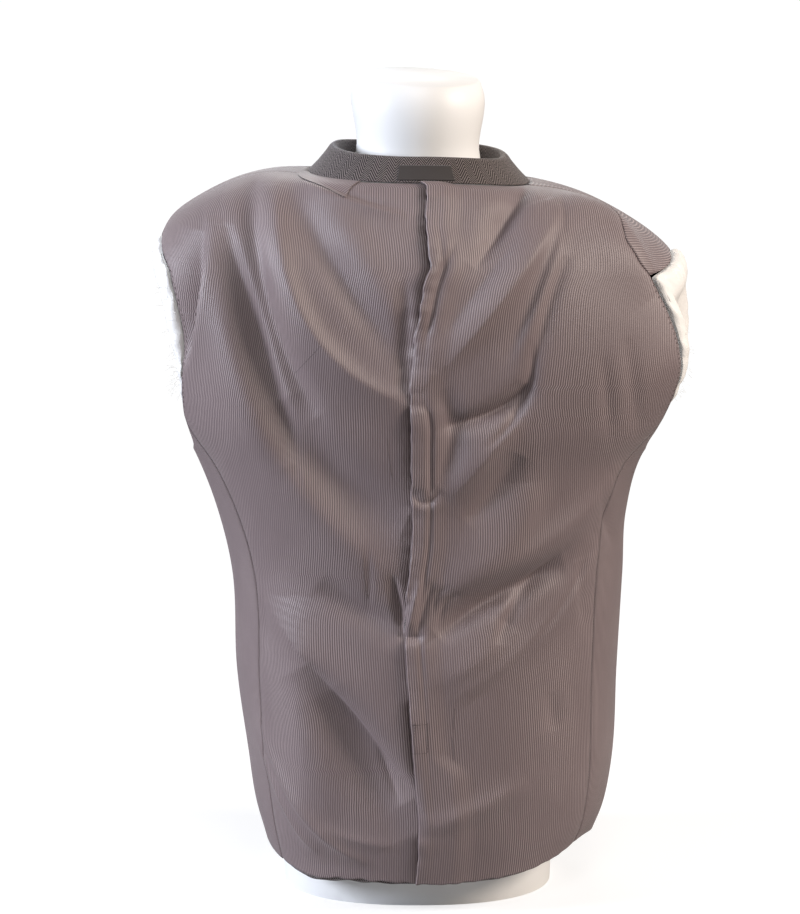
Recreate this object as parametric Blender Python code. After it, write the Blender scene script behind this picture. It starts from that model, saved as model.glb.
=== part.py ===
"""Sport coat turned inside out, worn on a limbless torso form.

The lining is outermost, the sleeves hang inside through the armholes, and the collar stands with
its leaf folded in against the neck of the form.  Metres, +Z up.  The origin is the middle of the
form's flat base.  The wearer faces -Y, so +X is the wearer's left and +Y the back of the coat.

Every cloth piece is a wall laid out on one coat surface.  A place on that surface has a `rise`, the
length of cloth above the hem, and a `reach`, the length round the body from the centre back,
positive towards the wearer's left.
"""

import math
from collections import namedtuple
from functools import lru_cache

import bmesh
import bpy
import numpy as np

# ---------------------------------------------------------------- driving dimensions, metres
WALL = 0.0020  # lining, canvas and wool cloth together
SEAM = 0.00028  # half the gap between two pieces at a seam
LAP_GAP = 0.0016  # air between two pieces that lie on each other
COLLAR_RISE = 0.760  # cloth length from hem to collar seam

BACK_LAP = 0.006  # right back over left back at the centre seam
BACK_TUCK = 0.003  # left back under the right one above the vent
VENT_TUCK = 0.024  # and inside the vent
VENT_RISE = 0.130
FRONT_LAP = 0.015  # each front past the centre front
BREAK_RISE = 0.340  # where the lapel starts to fold in

# ---------------------------------------------------------------- the coat's sections
Level = namedtuple(
    "Level", "name rise left_x left_z right_x right_z back_y back_z front_y front_z square"
)
LEVELS = [
    Level("hem", 0.000, 0.158, 0.054, 0.182, 0.050, 0.140, 0.036, 0.138, 0.040, 2.2),
    Level("skirt", 0.045, 0.168, 0.090, 0.194, 0.088, 0.147, 0.080, 0.146, 0.084, 2.2),
    Level("hip", 0.100, 0.175, 0.140, 0.202, 0.140, 0.150, 0.134, 0.150, 0.138, 2.2),
    Level("seat", 0.190, 0.186, 0.226, 0.205, 0.226, 0.149, 0.223, 0.150, 0.226, 2.2),
    Level("waist", 0.300, 0.190, 0.330, 0.210, 0.330, 0.142, 0.332, 0.146, 0.332, 2.2),
    Level("ribs", 0.370, 0.205, 0.398, 0.213, 0.395, 0.141, 0.401, 0.148, 0.400, 2.3),
    Level("underarm", 0.430, 0.226, 0.455, 0.229, 0.455, 0.143, 0.460, 0.150, 0.458, 2.35),
    Level("armhole", 0.475, 0.248, 0.498, 0.260, 0.496, 0.144, 0.505, 0.150, 0.503, 2.4),
    Level("chest", 0.550, 0.260, 0.566, 0.289, 0.560, 0.141, 0.578, 0.142, 0.575, 2.4),
    Level("blade", 0.620, 0.265, 0.634, 0.274, 0.624, 0.131, 0.645, 0.127, 0.640, 2.35),
    Level("shoulder", 0.665, 0.257, 0.680, 0.252, 0.664, 0.117, 0.685, 0.110, 0.676, 2.3),
    Level("cap", 0.695, 0.236, 0.706, 0.218, 0.691, 0.104, 0.708, 0.100, 0.698, 2.25),
    Level("yoke", 0.720, 0.186, 0.733, 0.176, 0.714, 0.094, 0.726, 0.098, 0.713, 2.2),
    Level("nape", 0.745, 0.137, 0.743, 0.136, 0.727, 0.085, 0.738, 0.098, 0.722, 2.1),
    Level("collar", 0.760, 0.110, 0.742, 0.112, 0.731, 0.079, 0.743, 0.098, 0.724, 2.0),
]

# The hem dips and lifts as it goes round: bearing and lift, gone by HEM_WAVE_RISE.
HEM_WAVE_RISE = 0.07
HEM_BEARINGS = [-230, -180, -135, -90, -65, -49, -33, -16, 0, 24, 43, 66, 90, 135, 180, 230]
HEM_LIFTS = [0, 2, -3, 3, 13, 6, 0, -1, 0, -2, -11, -7, 0, 3, -2, 0]  # millimetres

# Seams as bearings in degrees from the centre back, at a few rises.
UNDERARM_RISE = 0.481  # where the side panel's two seams reach the armhole
SEAM_RISES = [0.000, 0.150, 0.300, 0.420, UNDERARM_RISE, 0.665, 0.720, COLLAR_RISE]
BACK_SEAM = [60.0, 58.0, 57.0, 61.0, 68.0, 68.0, 68.0, 68.0]
FRONT_SEAM = [112.0, 112.0, 113.0, 111.0, 108.0, 108.0, 108.0, 108.0]
FACING_SEAM = [142.0, 141.0, 140.0, 141.0, 141.0, 133.0, 122.0, 112.0]

# The armhole: bearings of its back and front edge at each rise, and the dip of its floor.
ARMHOLE_RISE, ARMHOLE_BEARING = 0.550, 88.0
ARMHOLE_HALF, ARMHOLE_SPREAD = 0.115, 25.0
ARMHOLE_FLOOR_DIP = 0.046
Armhole = namedtuple("Armhole", "rises back front shoulder_rises shoulder_seam flap_columns")
ARMHOLES = {
    1: Armhole(
        [UNDERARM_RISE, 0.515, 0.550, 0.590, 0.620, 0.640, 0.665],
        [68.0, 65.0, 63.5, 64.0, 66.5, 70.5, 88.0],
        [108.0, 111.5, 113.0, 112.5, 110.0, 106.0, 88.0],
        [0.665, 0.700, 0.735, 0.752, COLLAR_RISE],
        [88.0, 90.0, 88.0, 80.0, 70.0],
        0,
    ),
    -1: Armhole(
        [UNDERARM_RISE, 0.515, 0.550, 0.590, 0.620, 0.640, 0.665],
        [68.0, 65.0, 63.0, 62.0, 60.5, 59.0, 59.0],
        [108.0, 111.5, 113.0, 112.5, 110.0, 106.0, 90.0],
        [0.640, 0.665, 0.685, 0.705, 0.735, COLLAR_RISE],
        [59.0, 62.0, 69.0, 84.0, 88.0, 76.0],
        4,
    ),
}

# The centre back seam wanders: sideways reach of its line at a few rises.
CENTRE_RISES = [0.000, 0.090, 0.180, 0.260, 0.300, 0.420, 0.480, 0.560, 0.660, 0.730, 0.760]
CENTRE_REACH = [0.003, 0.000, 0.004, 0.009, 0.002, 0.000, 0.004, -0.003, -0.012, -0.018, -0.010]

# Half the opening at the centre front, above the break: a narrow V down from the collar.
OPENING_RISES = [0.000, BREAK_RISE, 0.420, 0.500, 0.580, 0.660, 0.720, COLLAR_RISE]
OPENING_REACH = [-FRONT_LAP, -FRONT_LAP, 0.002, 0.018, 0.032, 0.044, 0.050, 0.048]
CUTAWAY = 0.060  # how far the front corner is rounded off above the hem

# Rows of the cloth grids: the hem, the side seams, the armhole, the shoulder.
RISES = [0.0, 0.035, 0.08, 0.13, 0.18, 0.235, 0.29, 0.34, 0.385, 0.43, UNDERARM_RISE]
ARMHOLE_TOP = 0.665
RISES += [0.515, 0.550, 0.590, 0.620, 0.640, ARMHOLE_TOP, 0.685, 0.705, 0.735, COLLAR_RISE]

# Largest folds.  Each runs through three places (x, z) as seen from behind (back) or from the front
# (front), stands proud by `height` and is `width` wide on its upper and lower side.
Fold = namedtuple("Fold", "face x1 z1 x2 z2 x3 z3 height upper lower")
FOLDS = [
    Fold("back", 0.183, 0.670, 0.155, 0.580, 0.106, 0.465, -0.009, 0.022, 0.018),
    Fold("back", 0.159, 0.728, 0.105, 0.615, 0.010, 0.535, 0.008, 0.024, 0.018),
    Fold("back", 0.129, 0.727, 0.080, 0.645, 0.015, 0.543, -0.006, 0.018, 0.020),
    Fold("back", 0.206, 0.670, 0.211, 0.638, 0.229, 0.565, 0.004, 0.016, 0.016),
    Fold("back", 0.126, 0.505, 0.063, 0.464, 0.014, 0.436, -0.004, 0.024, 0.024),
    Fold("back", 0.175, 0.420, 0.101, 0.353, 0.030, 0.310, 0.006, 0.024, 0.022),
    Fold("back", 0.146, 0.337, 0.071, 0.320, 0.016, 0.300, -0.005, 0.018, 0.018),
    Fold("back", 0.160, 0.311, 0.078, 0.222, 0.002, 0.122, 0.010, 0.030, 0.018),
    Fold("back", 0.118, 0.224, 0.058, 0.143, 0.007, 0.083, -0.008, 0.016, 0.024),
    Fold("back", -0.110, 0.731, -0.072, 0.654, -0.004, 0.593, 0.007, 0.018, 0.022),
    Fold("back", -0.150, 0.690, -0.105, 0.613, -0.032, 0.551, -0.006, 0.016, 0.018),
    Fold("back", -0.142, 0.720, -0.110, 0.600, 0.000, 0.545, 0.007, 0.018, 0.020),
    Fold("back", -0.116, 0.571, -0.099, 0.532, -0.035, 0.509, -0.009, 0.014, 0.014),
    Fold("back", -0.104, 0.436, -0.075, 0.401, -0.026, 0.378, 0.007, 0.020, 0.020),
    Fold("back", -0.194, 0.423, -0.112, 0.383, -0.017, 0.348, 0.007, 0.020, 0.020),
    Fold("back", -0.128, 0.357, -0.089, 0.333, -0.017, 0.297, -0.007, 0.018, 0.018),
    Fold("back", -0.142, 0.724, -0.188, 0.703, -0.241, 0.633, 0.007, 0.010, 0.026),
    Fold("front", 0.170, 0.620, 0.150, 0.500, 0.100, 0.400, -0.008, 0.024, 0.024),
    Fold("front", -0.180, 0.600, -0.150, 0.480, -0.110, 0.380, -0.008, 0.024, 0.024),
    Fold("front", 0.150, 0.300, 0.110, 0.200, 0.100, 0.090, 0.007, 0.026, 0.026),
    Fold("front", -0.170, 0.320, -0.130, 0.210, -0.110, 0.100, 0.007, 0.026, 0.026),
]

# The collar's profile from its seam up over the fold and down the leaf: height above the seam and
# distance in towards the neck, which grows by COLLAR_LEAN at the sides.
CollarPoint = namedtuple("CollarPoint", "name up inward")
COLLAR_PROFILE = [
    CollarPoint("seam", 0.0006, 0.0000),
    CollarPoint("stand", 0.0090, 0.0055),
    CollarPoint("stand top", 0.0170, 0.0100),
    CollarPoint("fold outside", 0.0220, 0.0125),
    CollarPoint("fold", 0.0240, 0.0150),
    CollarPoint("fold inside", 0.0220, 0.0174),
    CollarPoint("leaf", 0.0120, 0.0162),
    CollarPoint("leaf edge", 0.0050, 0.0140),
]
COLLAR_LEAN = 0.7
COLLAR_END = 142.0  # bearing of each front end
COLLAR_STEPS = 26
COLLAR_FRONT_LIFT = 0.35  # share by which the band is taller at its front ends

LABEL_BEARING = -4.0
LABEL_WIDTH = 0.058
LABEL_FOOT, LABEL_HEAD = 0.0030, 0.0165  # heights above the collar seam
LABEL_WALL = 0.0008

# Each sleeve starts at the armhole, puffs out, turns in and hangs inside the coat.  Columns: middle
# rise, half height, half width in degrees, and how deep its lower and upper sides lie below the
# coat's surface.
SleeveLoop = namedtuple("SleeveLoop", "rise half spread lower upper")
SLEEVE_LOOPS = [
    SleeveLoop(0.5500, 0.1122, 24.35, 0.0004, 0.0004),
    SleeveLoop(0.5500, 0.1095, 23.6, 0.0000, -0.0060),
    SleeveLoop(0.5500, 0.1030, 21.8, 0.0040, -0.0100),
    SleeveLoop(0.5480, 0.0920, 18.8, 0.0100, -0.0060),
    SleeveLoop(0.5400, 0.0820, 17.0, 0.0130, 0.0120),
    SleeveLoop(0.5200, 0.0720, 17.5, 0.0140, 0.0300),
    SleeveLoop(0.4750, 0.0500, 20.0, 0.0150, 0.0420),
    SleeveLoop(0.4200, 0.0300, 22.0, 0.0120, 0.0420),
    SleeveLoop(0.3600, 0.0120, 23.0, 0.0090, 0.0400),
    SleeveLoop(0.2900, 0.0000, 23.0, 0.0080, 0.0370),
    SleeveLoop(0.2000, 0.0000, 21.0, 0.0080, 0.0340),
    SleeveLoop(0.1150, 0.0000, 18.0, 0.0080, 0.0300),
]
PUFF = {1: 0.7, -1: 1.3}  # how far the mouth of each sleeve bulges out

# ---------------------------------------------------------------- the torso form
FormLevel = namedtuple("FormLevel", "name z half_x half_y middle_y square")
FORM_LEVELS = [
    FormLevel("base", 0.000, 0.138, 0.102, 0.000, 2.3),
    FormLevel("hip", 0.100, 0.140, 0.108, 0.000, 2.3),
    FormLevel("seat", 0.200, 0.136, 0.105, 0.000, 2.2),
    FormLevel("waist", 0.330, 0.128, 0.094, 0.000, 2.2),
    FormLevel("ribs", 0.420, 0.140, 0.102, 0.000, 2.3),
    FormLevel("chest", 0.510, 0.158, 0.108, 0.000, 2.4),
    FormLevel("armpit", 0.580, 0.176, 0.106, 0.000, 2.4),
    FormLevel("shoulder", 0.640, 0.192, 0.094, 0.000, 2.3),
    FormLevel("shoulder top", 0.682, 0.194, 0.084, 0.000, 2.2),
    FormLevel("slope", 0.7155, 0.177, 0.077, 0.002, 2.1),
    FormLevel("neck root", 0.7310, 0.127, 0.068, 0.002, 2.0),
    FormLevel("neck foot", 0.7375, 0.074, 0.063, -0.011, 2.0),
    FormLevel("neck", 0.750, 0.0645, 0.063, -0.014, 2.0),
    FormLevel("neck top", 0.8330, 0.0625, 0.0625, -0.015, 2.0),
    FormLevel("neck rim", 0.8350, 0.0605, 0.0605, -0.015, 2.0),
]
FORM_LEAN = 0.050  # how much the shoulders and neck tip up towards +X, per metre of x
FORM_LEAN_FROM, FORM_LEAN_FULL = 0.50, 0.70  # heights between which it sets in
FORM_SIDES = 40
FORM_ROWS = 14  # besides one at each level

COLOURS = {
    "lining": ((0.205, 0.165, 0.168, 1.0), 0.42),
    "wool": ((0.075, 0.068, 0.070, 1.0), 0.90),
    "sleeve lining": ((0.80, 0.77, 0.71, 1.0), 0.50),
    "label": ((0.030, 0.028, 0.030, 1.0), 0.60),
    "form": ((0.86, 0.86, 0.85, 1.0), 0.35),
}


# ---------------------------------------------------------------- helpers for smooth tables
def smooth(at, keys, values):
    """A smooth curve through (key, value) pairs, read at `at`; it never swings past its neighbours."""
    keys, values = np.asarray(keys, float), np.asarray(values, float)
    step = np.diff(keys)
    slope = np.diff(values) / step
    tangent = np.concatenate([[slope[0]], (slope[:-1] + slope[1:]) / 2, [slope[-1]]])
    turning = np.concatenate([[False], slope[:-1] * slope[1:] <= 0, [False]])
    tangent[turning] = 0.0
    at = np.clip(at, keys[0], keys[-1])
    k = np.clip(np.searchsorted(keys, at, side="right") - 1, 0, len(step) - 1)
    t = (at - keys[k]) / step[k]
    ease = t * t * (3 - 2 * t)
    lift = step[k] * (t * (1 - t) ** 2 * tangent[k] - t * t * (1 - t) * tangent[k + 1])
    return values[k] * (1 - ease) + values[k + 1] * ease + lift


def eased(x):
    """0 below 0, 1 above 1, and smooth between."""
    x = np.clip(x, 0.0, 1.0)
    return x * x * (3 - 2 * x)


# ---------------------------------------------------------------- the coat's surface
BEARINGS = np.arange(-230.0, 230.5, 1.0)


def column(name):
    """One column of the section table."""
    return [getattr(level, name) for level in LEVELS]


@lru_cache(maxsize=None)
def ring(rise):
    """The coat's section at one rise: points for every bearing, and how far round each one is."""
    at = {n: float(smooth(rise, column("rise"), column(n))) for n in Level._fields[2:]}
    around = np.radians(BEARINGS)
    power = 2.0 / at["square"]
    side, end = np.sin(around), np.cos(around)
    left, back = side > 0, end > 0
    half_x = np.where(left, at["left_x"], at["right_x"])
    side_z = np.where(left, at["left_z"], at["right_z"])
    half_y = np.where(back, at["back_y"], at["front_y"])
    end_z = np.where(back, at["back_z"], at["front_z"])
    x = np.sign(side) * half_x * np.abs(side) ** power
    y = np.sign(end) * half_y * np.abs(end) ** power
    wave = smooth(BEARINGS, HEM_BEARINGS, HEM_LIFTS) * 0.001
    z = side_z + (end_z - side_z) * end**2 + wave * max(0.0, 1.0 - rise / HEM_WAVE_RISE) ** 2
    points = np.stack([x, y, z], axis=1)
    steps = np.linalg.norm(np.diff(points, axis=0), axis=1)
    reach = np.concatenate([[0.0], np.cumsum(steps)])
    return points, reach - reach[len(reach) // 2]


def reach_at(rise, bearing):
    """How far round from the centre back a bearing lies at this rise."""
    return float(np.interp(bearing, BEARINGS, ring(round(rise, 5))[1]))


def smooth_place(rise, reach):
    """The point of the unfolded coat surface, before folds."""
    points, reaches = ring(round(rise, 5))
    return np.array([np.interp(reach, reaches, points[:, k]) for k in range(3)])


def outward(rise, reach):
    """The surface's outward direction."""
    step = 0.003
    up = smooth_place(min(rise + step, COLLAR_RISE), reach)
    down = smooth_place(max(rise - step, 0.0), reach)
    ahead, behind = smooth_place(rise, reach + step), smooth_place(rise, reach - step)
    normal = np.cross(up - down, ahead - behind)
    return normal / np.linalg.norm(normal)


@lru_cache(maxsize=None)
def fold_line(fold):
    """A fold's course as a smooth bend through its three places."""
    t = np.linspace(0.0, 1.0, 25)[:, None]
    start = np.array([fold.x1, fold.z1])
    end = np.array([fold.x3, fold.z3])
    bend = 2 * np.array([fold.x2, fold.z2]) - (start + end) / 2
    return start * (1 - t) ** 2 + 2 * bend * t * (1 - t) + end * t**2


def fold_height(place):
    """How far the folds lift the cloth at a place of the smooth surface."""
    face = "back" if place[1] > 0 else "front"
    fade = float(eased(abs(place[1]) / 0.05))
    total = 0.0
    for fold in FOLDS:
        if fold.face != face:
            continue
        line = fold_line(fold)
        apart = place[[0, 2]] - line
        nearest = int(np.argmin((apart**2).sum(1)))
        distance = float(np.linalg.norm(apart[nearest]))
        width = fold.upper if apart[nearest][1] > 0 else fold.lower
        along = nearest / (len(line) - 1)
        taper = math.sqrt(max(math.sin(math.pi * (0.06 + 0.88 * along)), 0.0))
        total += fold.height * taper * math.exp(-((distance / width) ** 2))
    return total * fade


def place(rise, reach, depth=0.0):
    """A point of the coat surface with its folds, `depth` below the lining's face."""
    point = smooth_place(rise, reach)
    direction = outward(rise, reach)
    settled = float(eased((COLLAR_RISE - rise) / 0.02))
    return point + direction * (fold_height(point) * settled - depth)


# ---------------------------------------------------------------- making solids
def new_object(name, mesh, colour):
    """Puts a finished bmesh into the scene as one named object with its own material."""
    data = bpy.data.meshes.new(name)
    bmesh.ops.recalc_face_normals(mesh, faces=mesh.faces)
    if mesh.calc_volume(signed=True) < 0:
        bmesh.ops.reverse_faces(mesh, faces=mesh.faces)
    mesh.to_mesh(data)
    mesh.free()
    material = bpy.data.materials.new(name)
    material.use_nodes = True
    shader = material.node_tree.nodes["Principled BSDF"]
    shader.inputs["Base Color"].default_value = COLOURS[colour][0]
    shader.inputs["Roughness"].default_value = COLOURS[colour][1]
    data.materials.append(material)
    data.shade_smooth()
    data.set_sharp_from_angle(angle=math.radians(40))
    made = bpy.data.objects.new(name, data)
    bpy.context.scene.collection.objects.link(made)
    return made


def add_block(mesh, face, lining):
    """One closed block of wall: a grid on `face`, extruded to the points of `lining`."""
    rows, columns = len(face), len(face[0])
    made = bmesh.ops.create_grid(mesh, x_segments=columns - 1, y_segments=rows - 1, size=0.5)
    front = made["verts"]
    cells = list({f for v in front for f in v.link_faces})
    pushed = bmesh.ops.extrude_face_region(mesh, geom=cells, use_keep_orig=True)
    behind = {tuple(v.co): v for v in pushed["geom"] if isinstance(v, bmesh.types.BMVert)}
    pairs = [(v, behind[tuple(v.co)]) for v in front]
    for k, (outer, inner) in enumerate(pairs):
        row, step = divmod(k, columns)
        outer.co = face[row][step]
        inner.co = lining[row][step]


def wall(name, blocks, colour):
    """A cloth wall made of blocks; where two ends meet they are joined into one."""
    mesh = bmesh.new()
    for face, lining in blocks:
        add_block(mesh, face, lining)
    by_place = {}
    for cell in mesh.faces:
        key = tuple(sorted(tuple(round(c, 6) for c in v.co) for v in cell.verts))
        by_place.setdefault(key, []).append(cell)
    inside = [cell for cells in by_place.values() if len(cells) > 1 for cell in cells]
    bmesh.ops.delete(mesh, geom=inside, context="FACES_ONLY")
    bmesh.ops.remove_doubles(mesh, verts=mesh.verts, dist=1e-6)
    return new_object(name, mesh, colour)


# ---------------------------------------------------------------- seam lines
def centre_back(rise):
    return float(smooth(rise, CENTRE_RISES, CENTRE_REACH))


def armhole_floor(bearing):
    """Rise of the armhole's lower edge at this bearing."""
    off = (bearing - ARMHOLE_BEARING) / (ARMHOLES[1].front[0] - ARMHOLE_BEARING)
    return UNDERARM_RISE - ARMHOLE_FLOOR_DIP * math.sqrt(max(0.0, 1.0 - off * off))


def back_edge(rise, side):
    """Bearing of the back's outer edge: side seam, armhole, shoulder seam."""
    hole = ARMHOLES[side]
    if rise <= UNDERARM_RISE:
        return float(smooth(rise, SEAM_RISES, BACK_SEAM))
    if rise <= hole.shoulder_rises[0]:
        return float(smooth(rise, hole.rises, hole.back))
    return float(smooth(rise, hole.shoulder_rises, hole.shoulder_seam))


def front_edge(rise, side):
    """Bearing of the front's outer edge: side seam, armhole, then level with the armhole's top."""
    hole = ARMHOLES[side]
    if rise <= UNDERARM_RISE:
        return float(smooth(rise, SEAM_RISES, FRONT_SEAM))
    if rise <= ARMHOLE_TOP:
        return float(smooth(rise, hole.rises, hole.front))
    if hole.flap_columns:
        return hole.front[-1]
    return float(smooth(rise, hole.shoulder_rises, hole.shoulder_seam))


def armhole_outline(side):
    """The armhole's corners as (rise, bearing): up the back, over the top, down the front, floor."""
    hole = ARMHOLES[side]
    first, last = hole.shoulder_rises[0], hole.back[0]
    up = [(r, back_edge(r, side)) for r in hole.rises if r <= first]
    steps = [k / max(hole.flap_columns, 1) for k in range(1, hole.flap_columns)]
    over = [(flap_rise(t, side), flap_bearing(t, side)) for t in steps]
    down = [(r, front_edge(r, side)) for r in reversed(hole.rises)]
    down = down[0 if hole.flap_columns else 1 :]
    floor = [hole.front[0] + (last - hole.front[0]) * k / 6 for k in range(1, 6)]
    return up + over + down + [(armhole_floor(b), b) for b in floor]


def flap_rise(share, side):
    """Rise along the armhole's top edge, from the shoulder seam to the front."""
    first = ARMHOLES[side].shoulder_rises[0]
    return first + (ARMHOLE_TOP - first) * share


def flap_bearing(share, side):
    hole = ARMHOLES[side]
    return hole.shoulder_seam[0] + (hole.front[-1] - hole.shoulder_seam[0]) * share


def facing_edge(rise):
    return float(smooth(rise, SEAM_RISES, FACING_SEAM))


def opening(rise, side):
    """Reach of the front edge or, above the break, of the lapel's roll line."""
    half = float(smooth(rise, OPENING_RISES, OPENING_REACH))
    return side * (abs(reach_at(rise, side * 180.0)) - half)


# ---------------------------------------------------------------- the panels
def cloth(side, columns, rises, low, high, lift=lambda rise, reach: 0.0):
    """One block of a panel between two edges, given as reaches for each rise, column by column."""
    face, lining = [], []
    for k in range(len(rises(0.0))):
        spots = []
        for share in columns:
            rise = rises(share)[k]
            spots.append((rise, low(rise) * (1 - share) + high(rise) * share))
        face.append([place(r, d, -lift(r, d)) for r, d in spots])
        lining.append([place(r, d, WALL - lift(r, d)) for r, d in spots])
    return face, lining


def even(count):
    return [k / count for k in range(count + 1)]


def make_back(side):
    """One back panel, from the centre seam to the side seam, armhole and shoulder seam."""
    over = side < 0

    def tuck(rise):
        return BACK_TUCK + (VENT_TUCK - BACK_TUCK) * float(eased((VENT_RISE - rise) / 0.03 + 0.5))

    def low(rise):
        return centre_back(rise) + (BACK_LAP if over else -tuck(rise))

    def high(rise):
        return reach_at(rise, side * back_edge(rise, side)) - side * SEAM

    def lift(rise, reach):
        if not over:
            return 0.0
        past = reach - (centre_back(rise) - tuck(rise) - 0.004)
        return (WALL + LAP_GAP) * float(eased(past / 0.024 + 1.0))

    near = [0.0, 0.035, 0.075, 0.13]
    columns = near + [0.13 + 0.87 * k / 9 for k in range(1, 10)]
    name = "back_left" if side > 0 else "back_right"
    return wall(name, [cloth(side, columns, lambda share: RISES, low, high, lift)], "lining")


def make_side(side):
    """The side panel, under the armhole."""
    rows = [r / UNDERARM_RISE for r in RISES if r <= UNDERARM_RISE]

    def rises(share):
        hole = ARMHOLES[side]
        top = armhole_floor(hole.back[0] + (hole.front[0] - hole.back[0]) * share)
        return [r * top for r in rows]

    def low(rise):
        edge = float(smooth(rise, SEAM_RISES, BACK_SEAM))
        return reach_at(rise, side * edge) + side * SEAM

    def high(rise):
        edge = float(smooth(rise, SEAM_RISES, FRONT_SEAM))
        return reach_at(rise, side * edge) - side * SEAM

    name = "side_left" if side > 0 else "side_right"
    return wall(name, [cloth(side, even(6), rises, low, high)], "lining")


def make_front(side):
    """The front lining, from the side seam, armhole and shoulder seam to the facing."""
    flap = ARMHOLES[side].flap_columns

    def low(rise):
        return reach_at(rise, side * front_edge(rise, side)) + side * SEAM

    def high(rise):
        return reach_at(rise, side * facing_edge(rise)) - side * SEAM

    def shoulder(rise):
        return reach_at(rise, side * back_edge(rise, side)) + side * SEAM

    blocks = [cloth(side, even(6), lambda share: RISES, low, high)]
    if flap:
        blocks.append(flap_block(side, flap, shoulder, low))
    name = "front_left" if side > 0 else "front_right"
    return wall(name, blocks, "lining")


def flap_block(side, columns, shoulder, edge):
    """The part of a front that comes over the shoulder to a seam behind the armhole's top."""
    rises = [r for r in RISES if r > ARMHOLE_TOP]
    face, lining = [], []
    shares = even(columns)
    first = [(flap_rise(t, side), flap_bearing(t, side)) for t in shares]
    spots = [(r, reach_at(r, side * b)) for r, b in first]
    spots[0] = (spots[0][0], shoulder(spots[0][0]))
    spots[-1] = (ARMHOLE_TOP, edge(ARMHOLE_TOP))
    rows = [spots]
    for rise in rises:
        rows.append([(rise, shoulder(rise) * (1 - t) + edge(rise) * t) for t in shares])
    face = [[place(r, d) for r, d in row] for row in rows]
    lining = [[place(r, d, WALL) for r, d in row] for row in rows]
    return face, lining


# The facing's turned edge: how far past the edge and how deep behind it, then the lapel's width.
TURN = [(0.0012, 0.0012), (0.0012, 0.0052), (0.0, 0.0064)]
LAPEL_RISES = [0.000, BREAK_RISE - 0.03, 0.480, 0.600, 0.680, COLLAR_RISE]
LAPEL_WIDTHS = [0.006, 0.008, 0.045, 0.066, 0.060, 0.040]
LAPEL_SHARES = [0.5, 1.0]


def make_facing(side):
    """The wool facing; its front edge turns in, and above the break it is the folded-in lapel."""
    over = side > 0
    columns = even(4)
    face, lining = [], []
    for k, top_rise in enumerate(RISES):
        outer_row, inner_row = [], []
        for share in columns:
            corner = CUTAWAY * max(0.0, share - 0.25) ** 2 / 0.75**2
            rise = corner + (COLLAR_RISE - corner) * top_rise / COLLAR_RISE
            edge = opening(rise, side)
            seam = reach_at(rise, side * facing_edge(rise)) + side * SEAM
            reach = seam + (edge - seam) * share
            near = abs(reach - opening(rise, side)) / 0.05
            lift = (WALL + LAP_GAP) * 2.6 * float(eased(1.6 - near)) if over else 0.0
            lift *= float(eased((0.46 - rise) / 0.06))
            outer_row.append(place(rise, reach, -lift))
            inner_row.append(place(rise, reach, WALL - lift))
        width = float(smooth(rise, LAPEL_RISES, LAPEL_WIDTHS))
        for past, deep in TURN:
            outer_row.append(place(rise, edge + side * past, deep - lift))
            inner_row.append(place(rise, edge + side * (past - WALL * 0.9), deep_inner(deep) - lift))
        for share in LAPEL_SHARES:
            back_from = edge - side * width * share
            outer_row.append(place(rise, back_from, TURN[-1][1] - lift))
            inner_row.append(place(rise, back_from, TURN[-1][1] - WALL - lift))
        face.append(outer_row)
        lining.append(inner_row)
    name = "facing_left" if side > 0 else "facing_right"
    return wall(name, [(face, lining)], "wool")


def deep_inner(deep):
    """Depth of the turn's inner skin: it keeps the wall's thickness round the fold."""
    middle = TURN[-1][1] / 2
    return middle + (deep - middle) * (middle - WALL) / middle


# ---------------------------------------------------------------- collar and label
def collar_point(bearing, up, inward):
    """A point of the collar, above the neck seam at this bearing."""
    points, _ = ring(COLLAR_RISE)
    seam = np.array([np.interp(bearing, BEARINGS, points[:, k]) for k in range(3)])
    to_neck = np.array([-seam[0], -seam[1], 0.0])
    to_neck /= np.linalg.norm(to_neck)
    taller = 1.0 + COLLAR_FRONT_LIFT * (abs(bearing) / COLLAR_END) ** 2
    lean = 1.0 + COLLAR_LEAN * math.sin(math.radians(bearing)) ** 2
    return seam + to_neck * inward * lean + np.array([0.0, 0.0, up * taller])


def profile_inner(k):
    """The collar wall's hidden skin at profile point k, set in by the wall's thickness."""
    here = np.array([COLLAR_PROFILE[k].inward, COLLAR_PROFILE[k].up])
    before = COLLAR_PROFILE[max(k - 1, 0)]
    after = COLLAR_PROFILE[min(k + 1, len(COLLAR_PROFILE) - 1)]
    run = np.array([after.inward - before.inward, after.up - before.up])
    run /= np.linalg.norm(run)
    return here + np.array([run[1], -run[0]]) * WALL


def make_collar():
    """The collar: its stand outside, the fold on top and the leaf hanging inside."""
    bearings = [COLLAR_END * (1 - 2 * k / COLLAR_STEPS) for k in range(COLLAR_STEPS + 1)]
    face, lining = [], []
    for k, point in enumerate(COLLAR_PROFILE):
        inner = profile_inner(k)
        face.append([collar_point(b, point.up, point.inward) for b in bearings])
        lining.append([collar_point(b, inner[1], inner[0]) for b in bearings])
    return wall("collar", [(face, lining)], "wool")


def make_label():
    """A bare woven patch on the collar stand."""
    half = math.degrees(LABEL_WIDTH / 2 / LEVELS[-1].left_x)
    bearings = [LABEL_BEARING + half * (1 - 2 * k / 6) for k in range(7)]
    ups = [p.up for p in COLLAR_PROFILE[:3]]
    insets = [p.inward for p in COLLAR_PROFILE[:3]]
    face, lining = [], []
    for up in (LABEL_FOOT, ups[1], LABEL_HEAD):
        inset = float(np.interp(up, ups, insets))
        face.append([collar_point(b, up, inset - 0.0011 - LABEL_WALL) for b in bearings])
        lining.append([collar_point(b, up, inset - 0.0011) for b in bearings])
    return wall("label", [(face, lining)], "label")


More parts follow.
